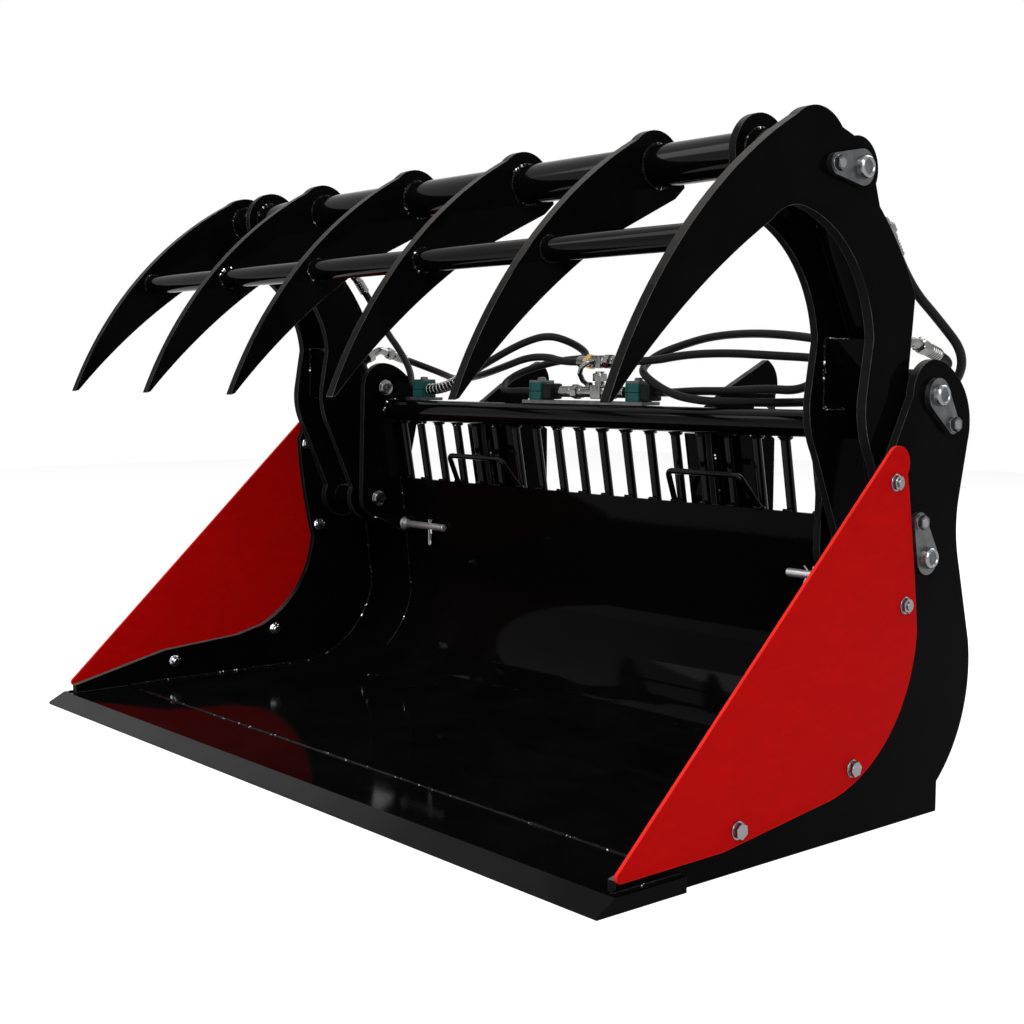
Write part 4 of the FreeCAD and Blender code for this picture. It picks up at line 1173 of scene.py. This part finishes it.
class BUCKET_OT_clamp_details(Operator):
    """Adds the clamps' ribs, split lines and bolt washers, and the black blocks beside them"""

    bl_idname = "bucket.clamp_details"
    bl_label = "Clamp details"

    def execute(self, context):
        rib_in, rib_half, rib_near, rib_far = 2.0, 1.8, 15.5, 17.2
        rib_heights = ((578.6, 592.6), (595.4, 609.6))
        split_half, block_half, block_length = 16.2, 15.0, 25.0
        upward = (0, 0, 1)
        ribs, blocks, bolts = bmesh.new(), bmesh.new(), bmesh.new()
        for x in CLAMP_PLACES:
            for low, high in rib_heights:
                for side in (-1, 1):
                    middle = x + side * (CLAMP_HALF - rib_in)
                    for near, far in ((-rib_far, -rib_near), (rib_near, rib_far)):
                        box(ribs, (middle - rib_half, LINE_Y + near, low), (middle + rib_half, LINE_Y + far, high),
                            bevel=0.6)
            box(blocks, (x - split_half, LINE_Y - split_half, LOWER_LINE - 0.8),
                (x + split_half, LINE_Y + split_half, LOWER_LINE + 0.8), bevel=0.2)
            lathe(bolts, (x, LINE_Y, LOWER_LINE + 20), upward, ((0, 8.5), (0.8, 8.5), (1.0, 8.0)), segments=32)
            lathe(bolts, (x, LINE_Y, LOWER_LINE + 25), upward, ((-0.2, 5.2), (0.4, 4.6), (0.6, 2.0)), segments=24)
        for x in CLAMP_PLACES[1:]:
            low = x + CLAMP_HALF
            box(blocks, (low + 0.2, LINE_Y - block_half, LOWER_LINE - 14.5),
                (low + block_length, LINE_Y + block_half, LOWER_LINE + 14.5), bevel=4.0)
        piece("clamp_ribs", ribs, "Clamp plastic", "bucket")
        piece("clamp_blocks", blocks, "Hose rubber", "bucket")
        piece("clamp_bolt_washers", bolts, "Zinc", "bucket")
        return {"FINISHED"}


def show_white(tree, output, lighting, shown):
    """Lets one shader act in the light, and shows the other to the camera and in reflections."""
    path = tree.nodes.new("ShaderNodeLightPath").outputs
    seen = node(tree, "Math", path["Is Camera Ray"], path["Is Glossy Ray"], operation="MAXIMUM")
    seen = node(tree, "Math", seen, path["Is Transmission Ray"], operation="MAXIMUM")
    choose = node(tree, "MixShader", seen, lighting, shown)
    feed(tree.nodes.new("ShaderNodeOutput" + output).inputs[0], choose)


def lay_floor():
    """A pale floor that shows white and keeps the object's shadow."""
    mesh = bpy.data.meshes.new("floor")
    bm = bmesh.new()
    bmesh.ops.create_grid(bm, x_segments=1, y_segments=1, size=FLOOR_SIZE)
    bm.to_mesh(mesh)
    bm.free()
    floor = add_object("floor", mesh)
    floor.location = (0, 0, -FLOOR_DROP)
    material = bpy.data.materials.new("Floor")
    material.use_nodes = True
    tree = material.node_tree
    tree.nodes.clear()
    pale, shaded = (node(tree, "BsdfDiffuse", (shade,) * 3) for shade in (FLOOR_PALE, FLOOR_SHADED))
    glow = node(tree, "Emission", Strength=FLOOR_GLOW)
    show_white(tree, "Material", pale, node(tree, "AddShader", glow, shaded))
    mesh.materials.append(material)


def set_surround(scene):
    """A plain sky that lights softly and shows white."""
    world = bpy.data.worlds.new("surround")
    scene.world = world
    world.use_nodes = True
    tree = world.node_tree
    tree.nodes.clear()
    sky, white = (node(tree, "Background", (1, 1, 1), strength)
                  for strength in (scene.bucket_stage.sky, 1.0))
    show_white(tree, "World", sky, white)


def hang_lamps(power):
    """Large soft lamps round the bucket."""
    for name, (place, aim, size, share) in LAMPS.items():
        data = bpy.data.lights.new(name, "AREA")
        data.shape = "RECTANGLE"
        data.size, data.size_y = size
        data.energy = power * share
        lamp = add_object(name, data)
        lamp.location = place
        lamp.rotation_euler = (Vector(aim) - Vector(place)).to_track_quat("-Z", "Y").to_euler()


class BUCKET_OT_stage(Operator):
    """Sets the floor, the white surround and the soft lamps"""

    bl_idname = "bucket.stage"
    bl_label = "Stage"

    def execute(self, context):
        context.scene.view_settings.view_transform = "Standard"
        lay_floor()
        set_surround(context.scene)
        hang_lamps(context.scene.bucket_stage.lamp)
        return {"FINISHED"}


STEPS = (
    BUCKET_OT_camera, BUCKET_OT_finishes, BUCKET_OT_hoses, BUCKET_OT_grapple_welds,
    BUCKET_OT_bowl_welds, BUCKET_OT_grille_welds, BUCKET_OT_arm_welds, BUCKET_OT_cheek_welds,
    BUCKET_OT_coupler_welds, BUCKET_OT_wing_bolts, BUCKET_OT_pin_ends, BUCKET_OT_stud_clips,
    BUCKET_OT_tees, BUCKET_OT_cylinder_details, BUCKET_OT_clamp_details, BUCKET_OT_stage,
)


class BUCKET_PT_panel(Panel):
    """Lists the steps that dress the bucket"""

    bl_idname = "BUCKET_PT_panel"
    bl_label = "Grapple bucket"
    bl_space_type = "VIEW_3D"
    bl_region_type = "UI"
    bl_category = "Grapple bucket"

    def draw(self, context):
        column = self.layout.column()
        for step in STEPS:
            column.operator(step.bl_idname)


GROUPS = (("bucket_paint", BucketPaint), ("bucket_detail", BucketDetail), ("bucket_stage", BucketStage))


def register():
    for name, group in GROUPS:
        bpy.utils.register_class(group)
        setattr(bpy.types.Scene, name, PointerProperty(type=group))
    for step in STEPS:
        bpy.utils.register_class(step)
    bpy.utils.register_class(BUCKET_PT_panel)


def unregister():
    bpy.utils.unregister_class(BUCKET_PT_panel)
    for step in reversed(STEPS):
        bpy.utils.unregister_class(step)
    for name, group in reversed(GROUPS):
        delattr(bpy.types.Scene, name)
        bpy.utils.unregister_class(group)


def main():
    register()
    for step in STEPS:
        family, _, action = step.bl_idname.partition(".")
        getattr(getattr(bpy.ops, family), action)()


if __name__ == "__main__":
    main()
